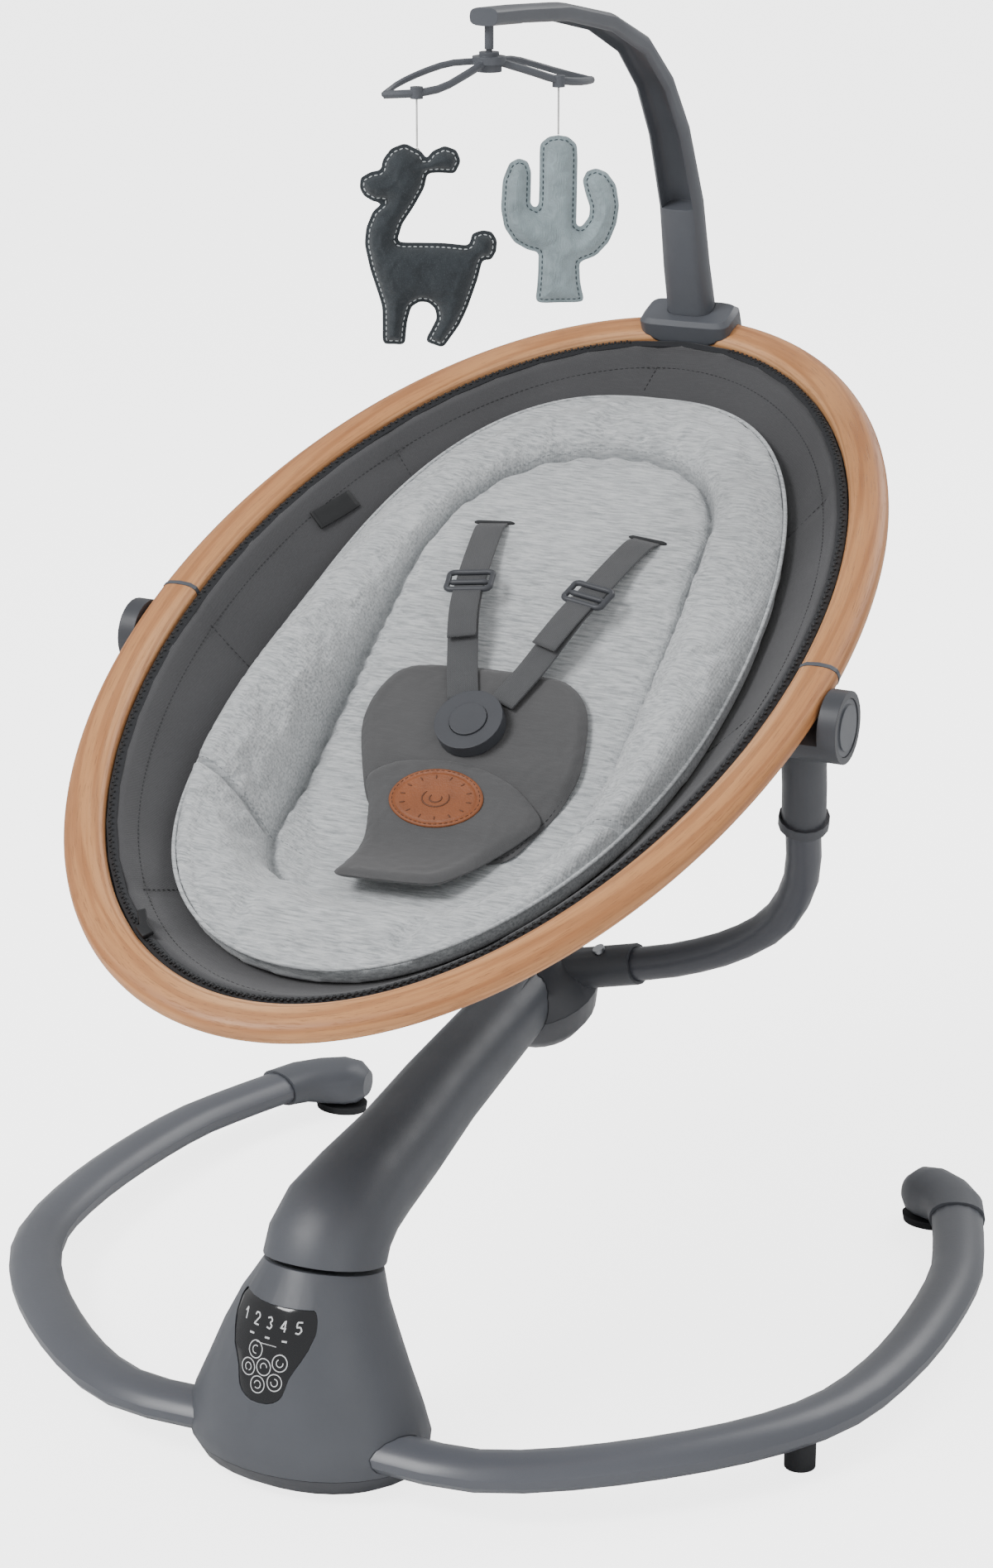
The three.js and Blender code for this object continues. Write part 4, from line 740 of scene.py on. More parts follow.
def bowl_seam(x, v):
    """How deep the bowl's sewn darts pull the cloth in at each point."""
    pull = np.zeros_like(x)
    for (ax, av), (bx, bv) in BOWL_SEAMS:
        d = np.array([bx - ax, bv - av], float)
        t = np.clip(((x - ax) * d[0] + (v - av) * d[1]) / (d @ d), 0, 1)
        gap = np.hypot(x - ax - t * d[0], v - av - t * d[1])
        pull += (1 - t) * (1.7 * np.exp(-((gap / 1.8) ** 2)) + 1.2 * np.exp(-((gap / 9) ** 2)))
    return pull


def make_bowl():
    rows = [i / 46 for i in range(1, 47)]

    def top(reach, angle):
        x, v = reach * (BOWL_X + 3) * np.sin(angle), reach * (BOWL_V + 3) * np.cos(angle)
        rim = smoothstep(np.full_like(x, reach), 0.9, 1.0)
        lip = 5.5 * smoothstep(np.full_like(x, reach), 0.955, 1.0)
        ripple = 0.7 * np.sin(angle * 23 + 2 * np.sin(angle * 5)) * (1 - rim) * smoothstep(np.full_like(x, reach), 0.6, 0.88)
        return np.stack([x, v, bowl_floor(x, v) - bowl_seam(x, v) + 0.4 * ripple + lip], 1)

    def low(reach, angle):
        x, v = reach * (BOWL_X + 3) * np.sin(angle), reach * (BOWL_V + 3) * np.cos(angle)
        depth = bowl_floor(x, v, BOWL_X + 3, BOWL_V + 3)
        ripple = 0.5 * np.sin(angle * 19 + np.sin(angle * 7)) * smoothstep(np.full_like(x, reach), 0.5, 0.9)
        return np.stack([x, v, depth - BOWL_WALL + 0.3 + ripple * 0.5], 1)

    points, faces = disc(rows, 220, top, low)
    bowl = add_piece("bowl_shell", seat_points(points), faces, "seat", BOWL, ["seat_bowl"])
    paths = []
    for (ax, av), (bx, bv) in BOWL_SEAMS:
        across = np.array([-(bv - av), bx - ax], float)
        across *= 2.6 / np.linalg.norm(across)
        line = np.stack([np.linspace(ax, bx, 14) + across[0], np.linspace(av, bv, 14) + across[1]], 1)
        w = bowl_floor(line[:, 0], line[:, 1]) - bowl_seam(line[:, 0], line[:, 1]) + 0.15
        paths.append(seat_points(np.column_stack([line, w])))
    rim = np.linspace(0, 2 * math.pi, 400)
    x, v = 0.972 * (BOWL_X - 2) * np.sin(rim), 0.972 * (BOWL_V - 2) * np.cos(rim)
    paths.append(seat_points(np.column_stack([x, v, bowl_floor(x, v) + 0.15])))
    stitches("bowl_stitching", paths, "seat", THREAD_GREY, 2.4, 1.3, 0.28)
    return bowl


# ---- Insert cushion ----
def roll_seam(x):
    """Where the seam across the roll lies along the seat."""
    return -131 - 22 * (1 - np.clip((np.abs(x) - 67) / 93, 0, 1))


def seam_gap(co):
    """Signed distance outwards from the seam round the sunken panel, and the distance in from the edge."""
    angle = np.arctan2(co[:, 0], co[:, 1] - INSERT_MIDDLE)
    far = np.hypot(co[:, 0], co[:, 1] - INSERT_MIDDLE)
    seam = np.interp(angle, SEAM_ANGLE[SEAM_ORDER], SEAM_REACH[SEAM_ORDER], period=2 * math.pi)
    return far - seam, outer_reach(angle) - far, angle


def insert_creases(co):
    """How far the sewn lines pull the cushion's top in, with small gathers beside them."""
    gap, rim, angle = seam_gap(co)
    top = smoothstep(co[:, 2] - bowl_floor(co[:, 0], co[:, 1]), 3.0, 8.0)
    across = co[:, 1] - roll_seam(co[:, 0])
    outside = smoothstep(gap, 0, 8) * smoothstep(rim, -1, 5)
    depth = 8.0 * np.exp(-((gap / 3.4) ** 2)) + 8.0 * np.exp(-((across / 3.2) ** 2)) * outside
    gathers = 1.1 * np.sin(angle * 47 + 3 * np.sin(angle * 5)) * np.exp(-(((np.abs(gap) - 6) / 7) ** 2))
    gathers += 0.9 * np.sin(co[:, 0] * 0.42 + 2 * np.sin(co[:, 0] * 0.11)) * np.exp(-(((np.abs(across) - 5) / 7) ** 2)) * outside
    return (depth + gathers) * top


def crease_shade(co):
    """1 in the sewn lines of the cushion and 0 away from them: the mask of the painted shade in the creases."""
    gap, rim, _ = seam_gap(co)
    outside = smoothstep(gap, 0, 6) * smoothstep(rim, 0, 4)
    across = np.exp(-(((co[:, 1] - roll_seam(co[:, 0])) / 2.2) ** 2)) * outside
    return np.clip(np.exp(-((gap / 2.6) ** 2)) + across, 0, 1)


def surface_of(obj, co):
    """A ray-cast tree of a mesh whose points are given."""
    return BVHTree.FromPolygons([tuple(p) for p in co], [tuple(q.vertices) for q in obj.data.polygons])


def dropped(path, surface, lift):
    """A flat path in the seat frame laid on a surface mesh that is still in seat-frame millimetres."""
    made = []
    for x, v in path:
        hit = surface.ray_cast(Vector((x, v, 60)), Vector((0, 0, -1)))
        if hit[0]:
            made.append((x, v, hit[0].z + lift))
    return np.array(made)


def make_insert():
    rows = [i / 58 for i in range(1, 59)]

    def at(reach, angle):
        far = reach * outer_reach(angle)
        return far * np.sin(angle), INSERT_MIDDLE + far * np.cos(angle)

    def top(reach, angle):
        x, v = at(reach, angle)
        return np.stack([x, v, insert_top(x, v)], 1)

    def low(reach, angle):
        x, v = at(reach, angle)
        return np.stack([x, v, bowl_floor(x, v) + 1], 1)

    points, faces = disc(rows, 240, top, low)
    obj = add_piece("insert_cushion", points * MM, faces, "seat", JERSEY, ["seat_insert"])
    remesh(obj, 4.6 * MM)
    co = points_of(obj) / MM
    angle = np.arctan2(co[:, 0], co[:, 1] - INSERT_MIDDLE)
    far = np.hypot(co[:, 0], co[:, 1] - INSERT_MIDDLE)
    seam = np.interp(angle, SEAM_ANGLE[SEAM_ORDER], SEAM_REACH[SEAM_ORDER], period=2 * math.pi)
    outer = outer_reach(angle)
    across = -131 - 22 * (1 - np.clip((np.abs(co[:, 0]) - 67) / 93, 0, 1))
    upper = smoothstep(co[:, 2] - bowl_floor(co[:, 0], co[:, 1]), 3.0, 9.0)
    free = upper * smoothstep(np.abs(far - seam), 2, 10) * smoothstep(outer - far, 2, 14)
    free *= np.where(far > seam, smoothstep(np.abs(co[:, 1] - roll_seam(co[:, 0])), 2, 9), 0.3)
    inflate(obj, free, 4.0, 4 * MM, 0.03, 18, 0.35)
    subdivide(obj)
    co = points_of(obj) / MM
    floor = bowl_floor(co[:, 0], co[:, 1])
    co[:, 2] = np.where(co[:, 2] > floor + 4, np.maximum(co[:, 2] - insert_creases(co), floor + 4), co[:, 2])
    surface = surface_of(obj, co)
    # Painted shade: the crease layer marks where the jersey darkens the sewn creases.
    painted_shade_layer = obj.data.attributes.new("crease", "FLOAT", "POINT")
    painted_shade_layer.data.foreach_set("value", crease_shade(co).astype(np.float32))
    set_points(obj, seat_points(co))
    dress(obj, "seat", JERSEY)
    ring = np.vstack([SEAM, SEAM[:1]])
    lines = [dropped(ring * 0.985, surface, 0.1), dropped(ring * 1.015, surface, 0.1)]
    for side in (-1, 1):
        x = side * np.linspace(72, 158, 40)
        lines.append(dropped(np.column_stack([x, roll_seam(x) + 3]), surface, 0.1))
    stitches("insert_stitching", [seat_points(one) for one in lines], "seat", THREAD_JERSEY, 2.2, 1.4, 0.3)
    edge = np.linspace(0, 2 * math.pi, 300)
    far = outer_reach(edge) + 0.6
    path = np.column_stack([far * np.sin(edge), INSERT_MIDDLE + far * np.cos(edge)])
    rim = np.column_stack([path, bowl_floor(path[:, 0], path[:, 1]) + 12.5])
    points, faces = tube(seat_points(rim[:-1]), 1.3 * MM, 8, True)
    add_piece("insert_piping", points, faces, "seat", JERSEY)
    return obj


# ---- Crotch pad, patch ----
BACK_PAD = closed_curve([(-76, -20), (-66, -3), (-45, 3), (-10, 5), (25, 5), (48, 2), (66, -14), (75, -42),
                         (77, -68), (66, -100), (54, -122), (30, -128), (-30, -112), (-52, -96), (-68, -66), (-77, -42)], 150)
FLAP = closed_curve([(-57, -82), (-40, -71), (-12, -66), (12, -67), (44, -78), (66, -95), (60, -110), (47, -128),
                     (38, -150), (31, -168), (20, -173), (0, -176), (-22, -178), (-33, -177), (-36, -160), (-40, -127),
                     (-48, -101)], 150)


def lay(obj, height):
    """Puts a flat pillow on a surface of the seat and turns it into the row frame."""
    co = points_of(obj) / MM
    co[:, 2] += height(co[:, 0], co[:, 1])
    set_points(obj, seat_points(co))


def back_height(x, v):
    return under_pad(v) + 8.6 - 3.8 * smoothstep(-v, 62, 92) - 1.5 * np.clip((np.abs(x) - 55) / 22, 0, 1)


def flap_height(x, v):
    under = panel_height(v) + 0.3 * (under_pad(v) - panel_height(v))
    return under + 10.4 - 2.5 * np.clip((np.abs(x) - 40) / 20, 0, 1) + 1.2 * smoothstep(v, -95, -70)


def make_pads():
    for name, outline, thick, height, replaced in (
        ("crotch_pad_back", BACK_PAD, 8.4, back_height, ["crotch_pad"]),
        ("crotch_pad_flap", FLAP, 8.2, flap_height, []),
    ):
        obj, d = pillow(name, outline * MM, thick * MM, 2.4 * MM, (1.6 * MM, 1.1 * MM), 6 * MM)
        if name == "crotch_pad_back":
            co = points_of(obj)
            thin = 1 - 0.5 * smoothstep(-co[:, 1] / MM, 62, 92)
            set_points(obj, co * np.stack([np.ones_like(thin), np.ones_like(thin), thin], 1))
        inflate(obj, smoothstep(d, 1.5 * MM, 5 * MM) * 0.8, 2.0, 1.2 * MM, 0.01, 12, 1.5)
        subdivide(obj)
        lay(obj, height)
        dress(obj, "seat", PAD, replaced)
        line = inset(outline, 2.2)
        line = np.vstack([line, line[:1]])
        lift = 1.25 if name == "crotch_pad_flap" else 1.2
        path = seat_points(np.column_stack([line, height(line[:, 0], line[:, 1]) + lift]))
        stitches(name + "_stitching", [path], "seat", THREAD_GREY, 2.4, 1.3, 0.26)


def patch_point(x, v, up):
    return np.column_stack([x, v, flap_height(x, v) + 4.1 + up])


def make_patch():
    centre, half_x, half_v = (-3, -96), 31, 20.5
    points, faces = [], []
    profile = [(0.0, 1.25), (0.3, 1.25), (0.6, 1.25), (0.8, 1.25), (0.845, 1.25), (0.86, 0.85), (0.88, 0.85),
               (0.895, 1.25), (0.96, 1.25), (0.99, 1.05), (1.0, 0.6), (1.0, 0.0), (0.97, -0.25), (0.5, -0.25), (0.0, -0.25)]
    count = 120
    angle = np.arange(count) / count * 2 * math.pi
    for reach, up in profile:
        x, v = centre[0] + reach * half_x * np.sin(angle), centre[1] + reach * half_v * np.cos(angle)
        points.extend(patch_point(x, v, up))
    for r in range(len(profile) - 1):
        for k in range(count):
            a, b = r * count + k, r * count + (k + 1) % count
            faces.append((a, b, b + count, a + count))
    obj = add_piece("patch", seat_points(points), faces, "seat", LEATHER, ["leather_patch"])
    weld = obj.modifiers.new("weld", "WELD")
    weld.merge_threshold = 1e-5
    ring = np.linspace(0, 2 * math.pi, 120)
    path = patch_point(centre[0] + 0.93 * half_x * np.sin(ring), centre[1] + 0.93 * half_v * np.cos(ring), 1.3)
    stitches("patch_stitching", [seat_points(path)], "seat", LEATHER_MARK, 2.2, 1.2, 0.28)
    marks = []
    for k in range(14):
        a = 2 * math.pi * (k + 0.5) / 14
        x = centre[0] + np.array([0.66, 0.78]) * half_x * math.sin(a)
        v = centre[1] + np.array([0.66, 0.78]) * half_v * math.cos(a)
        marks.append((np.linspace(*x, 4), np.linspace(*v, 4)))
    bow = np.linspace(-2.2, 2.2, 14)
    marks.append((centre[0] + 9 * np.sin(bow), centre[1] - 6.5 * np.cos(bow)))
    marks.append((centre[0] + 4 * np.sin(bow), centre[1] - 3.2 * np.cos(bow)))
    faces, points = [], []
    for x, v in marks:
        p, f = tube(seat_points(patch_point(x, v, 1.2)), 0.55 * MM, 6)
        faces += [tuple(i + len(points) for i in face) for face in f]
        points += p
    add_piece("patch_mark", points, faces, "seat", LEATHER_MARK)


# ---- Shoulder straps ----
STRAP_X, STRAP_THICK = 9.75, 1.5


def ribbon(name, centres, half, thick, material, replaces=(), up=Vector((0, 0, 1))):
    """A flat woven strap along a seat-frame path, with slightly rounded edges and UVs in millimetres."""
    section = [(-1, -0.35), (-1, 0.35), (-0.94, 0.5), (-0.5, 0.46), (0, 0.46), (0.5, 0.46), (0.94, 0.5), (1, 0.35),
               (1, -0.35), (0.94, -0.5), (0.5, -0.46), (0, -0.46), (-0.5, -0.46), (-0.94, -0.5)]
    path = [Vector(p) for p in centres]
    points, faces, far = [], [], [0]
    for i, p in enumerate(path):
        ahead = (path[min(i + 1, len(path) - 1)] - path[max(i - 1, 0)]).normalized()
        lateral = ahead.cross(up).normalized()
        normal = lateral.cross(ahead)
        points += [p + lateral * (a * half) + normal * (b * thick) for a, b in section]
        if i:
            far.append(far[-1] + (p - path[i - 1]).length)
    count = len(section)
    for i in range(len(path) - 1):
        for k in range(count):
            a, b = i * count + k, i * count + (k + 1) % count
            faces.append((a, b, b + count, a + count))
    faces += [tuple(range(count))[::-1], tuple(range((len(path) - 1) * count, len(path) * count))]
    obj = add_piece(name, seat_points([tuple(p) for p in points]), faces, "seat", material, replaces)
    layer = obj.data.uv_layers.new(name="UVMap")
    for loop in obj.data.loops:
        row, k = divmod(loop.vertex_index, count)
        layer.data[loop.index].uv = (section[k][0] * half + 40, far[row])
    return obj


def make_straps():
    for name, side in (("left", -1), ("right", 1)):
        node = f"shoulder_strap_{name}"
        side = math.copysign(1, sum(p.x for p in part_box(node)))
        path = open_curve([(side * 54, 126, insert_top(np.array([side * 62.0]), np.array([130.0]))[0] + 0.5),
                           (side * 51, 110, under_strap(110) + 5), (side * 38, 47, -14), (side * 25, 6, -27),
                           (side * 13, -24, panel_height(-24) + 15.5)], 60)
        ribbon(f"strap_{name}", path, STRAP_X, STRAP_THICK, WEB, [node])
        tail = path[27:44] + np.array([0, 0, 1.75])
        tail[:, 2] += np.linspace(0, 2.5, len(tail)) ** 1.2
        ribbon(f"strap_tail_{name}", tail, STRAP_X - 0.5, 1.3, WEB)
        make_adjuster(name, path[25], (path[26] - path[24]), side)
        slot_path = [(side * 54 + t, 127.5 - side * t * 0.12, insert_top(np.array([side * 54.0 + t]), np.array([128.0]))[0] + 0.5)
                     for t in np.linspace(-13.5, 13.5, 12)]
        p, f = tube(seat_points(slot_path), 1.5 * MM, 8)
        add_piece(f"strap_slot_{name}", p, f, "seat", THREAD_GREY)


def make_adjuster(name, centre, ahead, side):
    """A moulded frame with a middle bar that the strap threads through."""
    ahead = Vector(ahead).normalized()
    lateral = ahead.cross(Vector((0, 0, 1))).normalized()
    normal = lateral.cross(ahead)
    points, faces = [], []
    corners = [(14.2, 8), (-14.2, 8), (-14.2, -8), (14.2, -8)]
    frame_path = []
    for (x0, y0), (x1, y1) in zip(corners, corners[1:] + corners[:1]):
        for t in (0.1, 0.3, 0.5, 0.7, 0.9):
            frame_path.append((x0 + (x1 - x0) * t, y0 + (y1 - y0) * t))
    frame_path = closed_curve(frame_path, 64)
    rails = [(frame_path, True), (np.column_stack([np.linspace(-13.5, 13.5, 12), np.full(12, 1.5)]), False)]
    for path, closed in rails:
        line = [Vector(centre) + lateral * x + ahead * y + normal * 1.6 for x, y in path]
        p, f = tube(seat_points([tuple(q) for q in line]), 1.9 * MM, 10, closed)
        faces += [tuple(i + len(points) for i in face) for face in f]
        points += p
    add_piece(f"adjuster_{name}", points, faces, "seat", DARK, [f"strap_adjuster_{name}"])


def under_strap(v):
    return float(insert_top(np.array([60.0]), np.array([float(v)]))[0])


# ---- Toys ----
TOY_TURN = math.radians(26)
LLAMA_OUTLINE = [
    (-7, 1), (-15, -2), (-20, -8.5), (-21, -14.5), (-27, -15.5), (-33, -19), (-33.5, -25), (-31, -29.5), (-25, -33),
    (-19, -32.5), (-26, -38.5), (-30, -48), (-31, -57.5), (-28, -72), (-22, -91), (-21, -95.5), (-21, -116.5),
    (-8, -117), (-6.5, -103.5), (-4, -94.5), (1, -91.5), (6, -92), (10, -95.5), (11, -101.5), (4, -115), (14.5, -119),
    (24, -106), (29, -95.5), (35, -78.5), (38, -67), (43, -67), (46, -62), (46.5, -55.5), (43.5, -50.5), (38, -49.5),
    (32, -51.5), (30, -58.5), (15, -57), (-12, -56.5), (-9, -46), (-2, -35.5), (4, -25), (6, -16.5), (12, -16),
    (22, -16.5), (25.5, -9.5), (23, -3), (16, -0.5), (9, -3.5), (5, -8.5), (3, -4)]
CACTUS_OUTLINE = [
    (-11, -4), (-6, 0.5), (0, 1.5), (6, 0.5), (11, -4), (11.5, -12), (11.2, -40), (11, -52), (14, -53), (18.5, -47),
    (19, -41), (16, -32), (14.5, -25), (17, -19.8), (22.5, -18), (29, -20.5), (34.5, -28), (36.5, -40), (35, -51),
    (30.5, -62), (23, -70), (13, -74), (13.5, -85), (16, -98), (-13, -98.5), (-11.7, -80), (-11.5, -68), (-18, -66.5),
    (-26, -62), (-32, -53), (-34, -42), (-33, -25), (-29, -15), (-23.5, -12), (-18, -14), (-16, -20), (-16.2, -32),
    (-16.4, -39.5), (-12.6, -42), (-11.5, -39), (-11.2, -30)]


def make_toy(name, outline, lift, fabric, thread):
    lo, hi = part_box(f"{name}_string")
    bottom = Vector(((lo.x + hi.x) / 2, (lo.y + hi.y) / 2, lo.z - 2.3 * MM))
    x_axis = Vector((math.cos(TOY_TURN), math.sin(TOY_TURN), 0))
    z_axis = Vector((math.sin(TOY_TURN), -math.cos(TOY_TURN), 0))
    turn = Matrix((x_axis, (0, 0, 1), z_axis)).transposed()

    def to_world(points):
        return np.array([bottom + turn @ Vector(p) for p in points])

    # Straight runs stay straight: each corner is eased over a short step only.
    p = np.array(outline, float) + (0, lift)
    ahead = (np.roll(p, -1, 0) - p)
    eased = np.concatenate([[a + d * 0.12, a + d * 0.5, a + d * 0.88] for a, d in zip(p, ahead)])
    shape = even(closed_curve(eased, 1200), 300, True)
    obj, d = pillow(f"{name}_body", shape * MM, 12 * MM, 1.15 * MM, (2.6 * MM, 0.6 * MM), 9 * MM)
    inflate(obj, smoothstep(d, 2.8 * MM, 7 * MM), 5.0, 2.0 * MM, 0.03, 12, 0.25)
    subdivide(obj)
    flat = points_of(obj)
    surface = surface_of(obj, flat)
    set_points(obj, to_world(flat))
    node = f"{name}_toy"
    body = f"{name}"
    dress(obj, body, fabric, [node])
    line = inset(shape, 2.3)
    line = np.vstack([line, line[:1]]) * MM
    paths = []
    for side in (-1, 1):
        hits = [surface.ray_cast(Vector((x, y, side * 0.05)), Vector((0, 0, -side)))[0] for x, y in line]
        paths.append(to_world([(h.x, h.y, h.z + side * 0.22 * MM) for h in hits if h]))
    stitches(f"{name}_stitching", paths, body, thread, 2.2, 1.1, 0.4)
    loop_top = bottom + Vector((0, 0, 1.6 * MM))
    loop = [loop_top + Vector((math.cos(TOY_TURN), math.sin(TOY_TURN), 0)) * 1.5 * MM * math.sin(a)
            + Vector((0, 0, -1)) * 2.6 * MM * (1 - math.cos(a)) for a in np.linspace(0, 2 * math.pi, 25)[:-1]]
    p, f = tube(loop, 0.45 * MM, 6, True)
    add_piece(f"{name}_loop", p, f, body, STRING)
    make_string(name, Vector(((lo.x + hi.x) / 2, (lo.y + hi.y) / 2, 0)), lo.z, hi.z)


def make_string(name, centre, low, high):
    """The string itself, a round cord that hangs from the bracket."""
    length = high - low
    data = bpy.data.curves.new(f"{name}_cord", "CURVE")
    data.dimensions, data.bevel_depth, data.bevel_resolution = "3D", 0.6 * MM, 3
    spline = data.splines.new("POLY")
    spline.points.add(15)
    for i, point in enumerate(spline.points):
        t = i / 15
        point.co = (centre.x, centre.y, high - t * length, 1)
    cord = bpy.data.objects.new(f"{name}_cord", data)
    scene.collection.objects.link(cord)
    data.materials.append(STRING)
    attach(cord, name)
    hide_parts(f"{name}_string")


# ---- Zip, label ----
def make_tape():
    """The cloth edge that runs from the wood, under the trim, to the bowl."""
    points, faces = [], []
    count = 240
    for i in range(count):
        for inward, w in ((11.2, -1.0), (11.2, -2.6), (20.6, -5.0), (20.6, -3.6), (16.3, -1.4)):
            centre, _ = ring_point(2 * math.pi * i / count, inward, w)
            points.append(tuple(centre))
    for i in range(count):
        for k in range(5):
            a, b = i * 5 + k, i * 5 + (k + 1) % 5
            n = (i + 1) % count * 5
            faces.append((a, b, n + (k + 1) % 5, n + k))
    add_piece("edge_tape", seat_points(points), faces, "seat", BOWL_TRIM)


def make_zip():
    """Two rows of fine teeth along the trim, left out under the toy bar's clip, with a slider near the foot."""
    points, faces = [], []
    count = 620
    for i in range(count):
        angle = 2 * math.pi * i / count
        if abs(math.remainder(angle, 2 * math.pi)) < 0.19:
            continue
        side = 0.55 if i % 2 else -0.55
        centre, out = ring_point(angle, 16.3 + side, 2.95)
        ahead = Vector((-out.y, out.x, 0))
        base = len(points)
        for a in (-0.75, 0.75):
            for b in (-0.85, 0.85):
                for c in (-0.5, 0.45):
                    points.append(tuple(centre + ahead * a + out * b + Vector((0, 0, c))))
        for f in ((0, 1, 3, 2), (4, 6, 7, 5), (0, 4, 5, 1), (2, 3, 7, 6), (0, 2, 6, 4), (1, 5, 7, 3)):
            faces.append(tuple(base + k for k in f))
    add_piece("zip_teeth", seat_points(points), faces, "seat", BLACK)
    angle = math.radians(-154)
    centre, out = ring_point(angle, 17.5, 4.4)
    ahead = Vector((out.y, -out.x, 0))
    rounded_block("zip_slider", centre, ahead * 5.5, out * 3.6, Vector((0, 0, 1.5)), BLACK)
    pull = centre + Vector((1.5, -1, 0.4)) + ahead * 11 - out * 3
    rounded_block("zip_pull", pull, (ahead * 0.94 - out * 0.3) * 8.5, (out * 0.94 + ahead * 0.3) * 2.6, Vector((0, 0, 0.9)),
                  BLACK)


def rounded_block(name, centre, a, b, c, material, bevel=0.8):
    """A small block with rounded edges; a, b, c are its half axes in the seat frame, in millimetres."""
    points = [centre + a * i + b * j + c * k for i in (-1, 1) for j in (-1, 1) for k in (-1, 1)]
    faces = [(0, 1, 3, 2), (4, 6, 7, 5), (0, 4, 5, 1), (2, 3, 7, 6), (0, 2, 6, 4), (1, 5, 7, 3)]
    obj = add_piece(name, seat_points([tuple(p) for p in points]), faces, "seat", material)
    modifier = obj.modifiers.new("round", "BEVEL")
    modifier.width, modifier.segments = bevel * MM, 3
    return obj


def make_label():
    """A blank woven tab lying on the bowl's wall on the left, beside the cushion."""
    def wall(x, v):
        return Vector((x, v, float(bowl_floor(np.array([x]), np.array([v]))[0])))

    path = [wall(-174 + 12 * t, 104 + 33 * t) for t in np.linspace(0, 1, 12)]
    across, along = wall(-167, 120) - wall(-168, 120), wall(-168, 121) - wall(-168, 120)
    up = across.cross(along).normalized()
    ribbon("label_tab", [p + up * 1.2 for p in path], 6.5, 1.0, LABEL, up=up)


# ---- Control panel print ----
def make_print():
    """White numerals and ring icons, laid on the panel's curved face."""
    node = frame["nodes"]["control_panel"]
    graph = bpy.context.evaluated_depsgraph_get()
    tree = BVHTree.FromObject(node, graph)
    lo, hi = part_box("control_panel")
    middle = (lo.x + hi.x) / 2
    wide, tall = hi.x - lo.x, hi.z - lo.z

    def on_panel(points):
        made = []
        for x, z in points:
            hit = tree.ray_cast(Vector((x, lo.y - 0.05, z)), Vector((0, 1, 0)))
            y = hit[0].y - 0.00012 if hit[0] else lo.y + 0.002
            made.append((x, y, z))
        return made

    def flat_strip(path, half, closed):
        path = np.asarray(path, float)
        if closed:
            ahead = np.roll(path, -1, 0) - np.roll(path, 1, 0)
        else:
            ahead = np.gradient(path, axis=0)
        ahead /= np.maximum(np.linalg.norm(ahead, axis=1)[:, None], 1e-12)
        side = np.stack([-ahead[:, 1], ahead[:, 0]], 1) * half
        points = on_panel(np.vstack([path + side, path - side]))
        n = len(path)
        faces = [(i, (i + 1) % n, n + (i + 1) % n, n + i) for i in range(n if closed else n - 1)]
        return points, faces

    marks = []
    top = hi.z - tall * 0.17
    strokes = {
        "1": [[(-0.3, 0.6), (0.15, 1), (0.15, 0)]],
        "2": [[(-0.5, 0.75), (-0.3, 1), (0.3, 1), (0.5, 0.7), (-0.5, 0), (0.5, 0)]],
        "3": [[(-0.5, 0.9), (0.1, 1), (0.45, 0.75), (0.05, 0.52), (0.5, 0.25), (0.1, 0), (-0.5, 0.1)]],
        "4": [[(0.25, 0), (0.25, 1), (-0.5, 0.3), (0.5, 0.3)]],
        "5": [[(0.45, 1), (-0.4, 1), (-0.45, 0.55), (0.2, 0.6), (0.5, 0.3), (0.1, 0), (-0.5, 0.08)]],
    }
    for i, digit in enumerate("12345"):
        cx = middle + (i - 2) * wide * 0.165
        for stroke in strokes[digit]:
            path = [(cx + px * 3.4 * MM, top + (py - 0.5) * 6.2 * MM) for px, py in stroke]
            marks.append((even(np.array(path), 18, False), 0.42 * MM, False))
    for i in range(3):
        cx, cz = middle + (i - 1) * wide * 0.2, hi.z - tall * 0.32
        marks.append((np.array([(cx + t, cz) for t in np.linspace(-1.6, 1.6, 6) * MM]), 0.5 * MM, False))
    marks.append((np.array([(middle + t, hi.z - tall * 0.385) for t in np.linspace(-7, 7, 8) * MM]), 0.18 * MM, False))
    petals = [math.radians(a) for a in (130, 22, -42, -105, -168)]
    places = [(0, 0)] + [(11.0 * MM * math.cos(a), 10.8 * MM * math.sin(a)) for a in petals]
    ring = np.linspace(0, 2 * math.pi, 33)[:-1]
    for k, (px, pz) in enumerate(places):
        cx, cz = middle + 0.6 * MM + px, hi.z - tall * 0.62 + pz
        circle = np.stack([cx + 4.7 * MM * np.cos(ring), cz + 4.7 * MM * np.sin(ring)], 1)
        marks.append((circle, 0.28 * MM, True))
        part = ring[: 20 + 2 * k] + k
        inner = np.stack([cx + 2.1 * MM * np.cos(part), cz + 2.1 * MM * np.sin(part)], 1)
        marks.append((inner, 0.26 * MM, False))
    points, faces = [], []
    for path, half, closed in marks:
        p, f = flat_strip(path, half, closed)
        faces += [tuple(i + len(points) for i in face) for face in f]
        points += p
    add_piece("panel_print", points, faces, "base", PRINT)


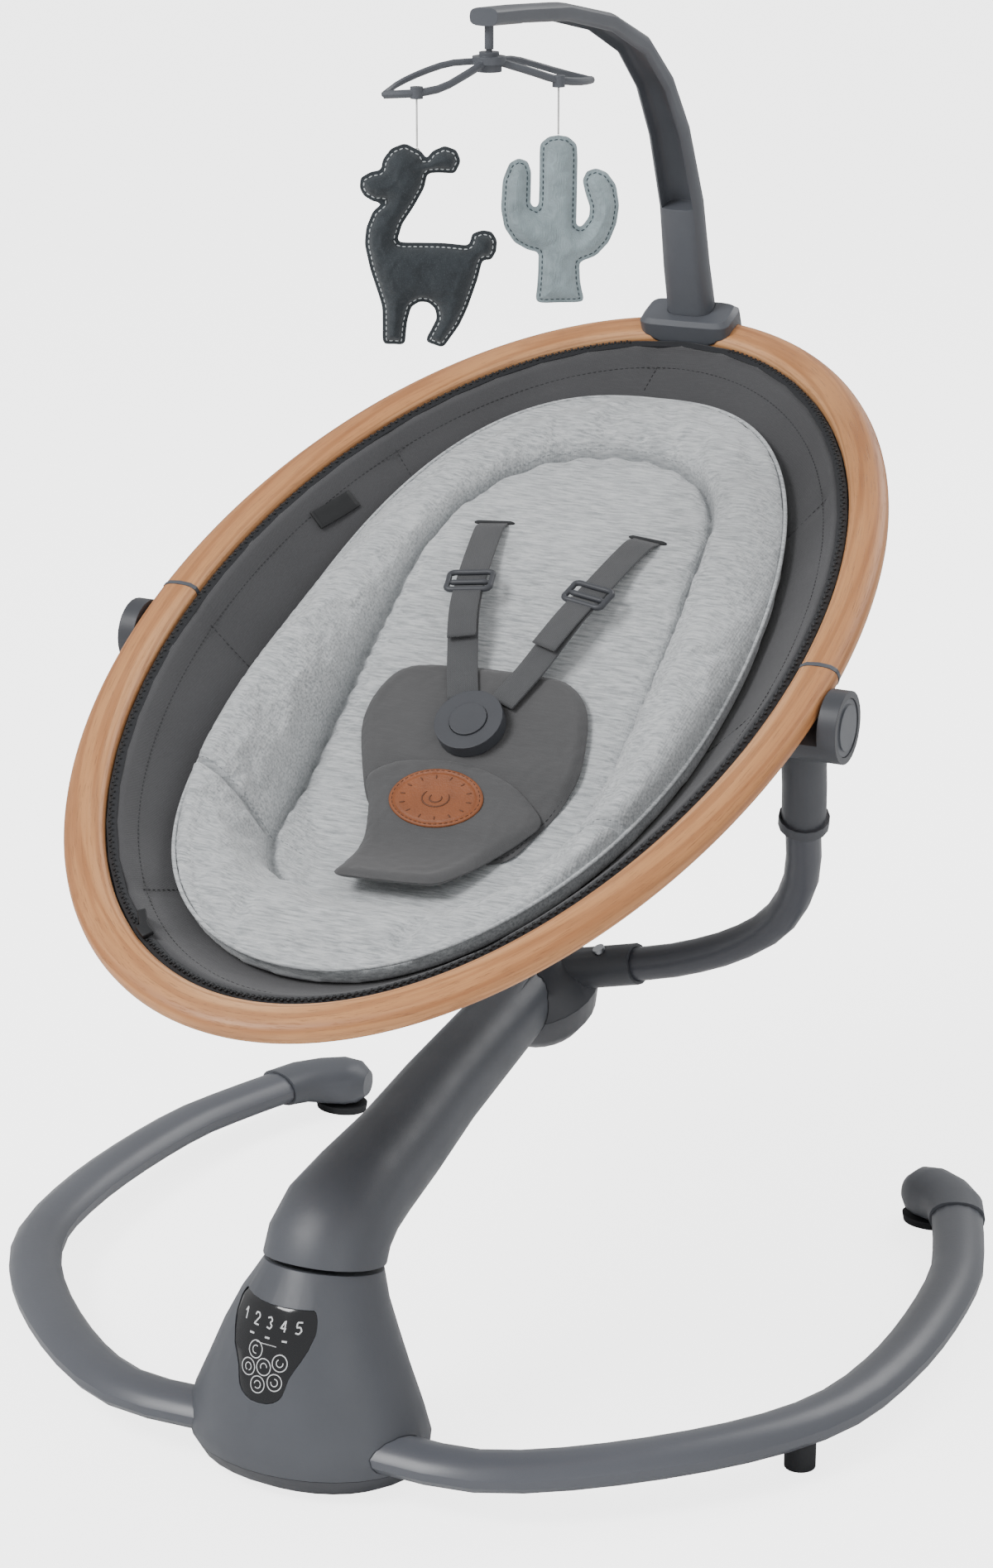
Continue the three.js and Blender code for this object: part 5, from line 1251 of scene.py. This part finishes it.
make_ring()
make_tape()
make_bowl()
make_insert()
make_pads()
make_patch()
make_straps()
make_toy("llama", LLAMA_OUTLINE, 3.5, LLAMA, THREAD_LIGHT)
make_toy("cactus", CACTUS_OUTLINE, 0.4, CACTUS, THREAD_DARK)
make_zip()
make_label()
make_print()


# ---- Floor and light ----
def make_stage():
    mesh = bpy.data.meshes.new("floor")
    s = 14
    mesh.from_pydata([(-s, -s, 0), (s, -s, 0), (s, s, 0), (-s, s, 0)], [], [(0, 1, 2, 3)])
    floor = bpy.data.objects.new("floor", mesh)
    scene.collection.objects.link(floor)
    look = Look("floor")
    base = look.mix(look.noise(1.5, 2), rgb(0xF7F7F7), rgb(0xFFFFFF))
    camera_ray = look.node("ShaderNodeLightPath").outputs["Is Camera Ray"]
    glow = look.math("MULTIPLY", camera_ray, 3.2)
    mesh.materials.append(look.finish(Base_Color=base, Roughness=0.6, Specular_IOR_Level=0.2,
                                      Emission_Color=(1, 1, 1, 1), Emission_Strength=glow))
    floor.location.z = -0.0008
    world = bpy.data.worlds.new("studio")
    scene.world = world
    world.use_nodes = True
    background = world.node_tree.nodes["Background"]
    tree = world.node_tree
    path = tree.nodes.new("ShaderNodeLightPath")
    strength = tree.nodes.new("ShaderNodeMapRange")
    strength.inputs["To Min"].default_value, strength.inputs["To Max"].default_value = 0.55, 7.0
    tree.links.new(path.outputs["Is Camera Ray"], strength.inputs["Value"])
    tree.links.new(strength.outputs[0], background.inputs[1])
    background.inputs[0].default_value = (1, 1, 1, 1)
    for name, place, size, power in (
        ("key", (-1.3, -1.7, 2.7), 1.2, 72),
        ("fill", (2.4, -1.6, 1.5), 2.0, 12),
        ("back", (0.8, 2.4, 2.2), 1.6, 30),
    ):
        data = bpy.data.lights.new(name, "AREA")
        data.size, data.energy = size, power
        light = bpy.data.objects.new(name, data)
        scene.collection.objects.link(light)
        light.location = place
        light.rotation_euler = (Vector((0, 0.2, 0.4)) - Vector(place)).to_track_quat("-Z", "Y").to_euler()


make_stage()
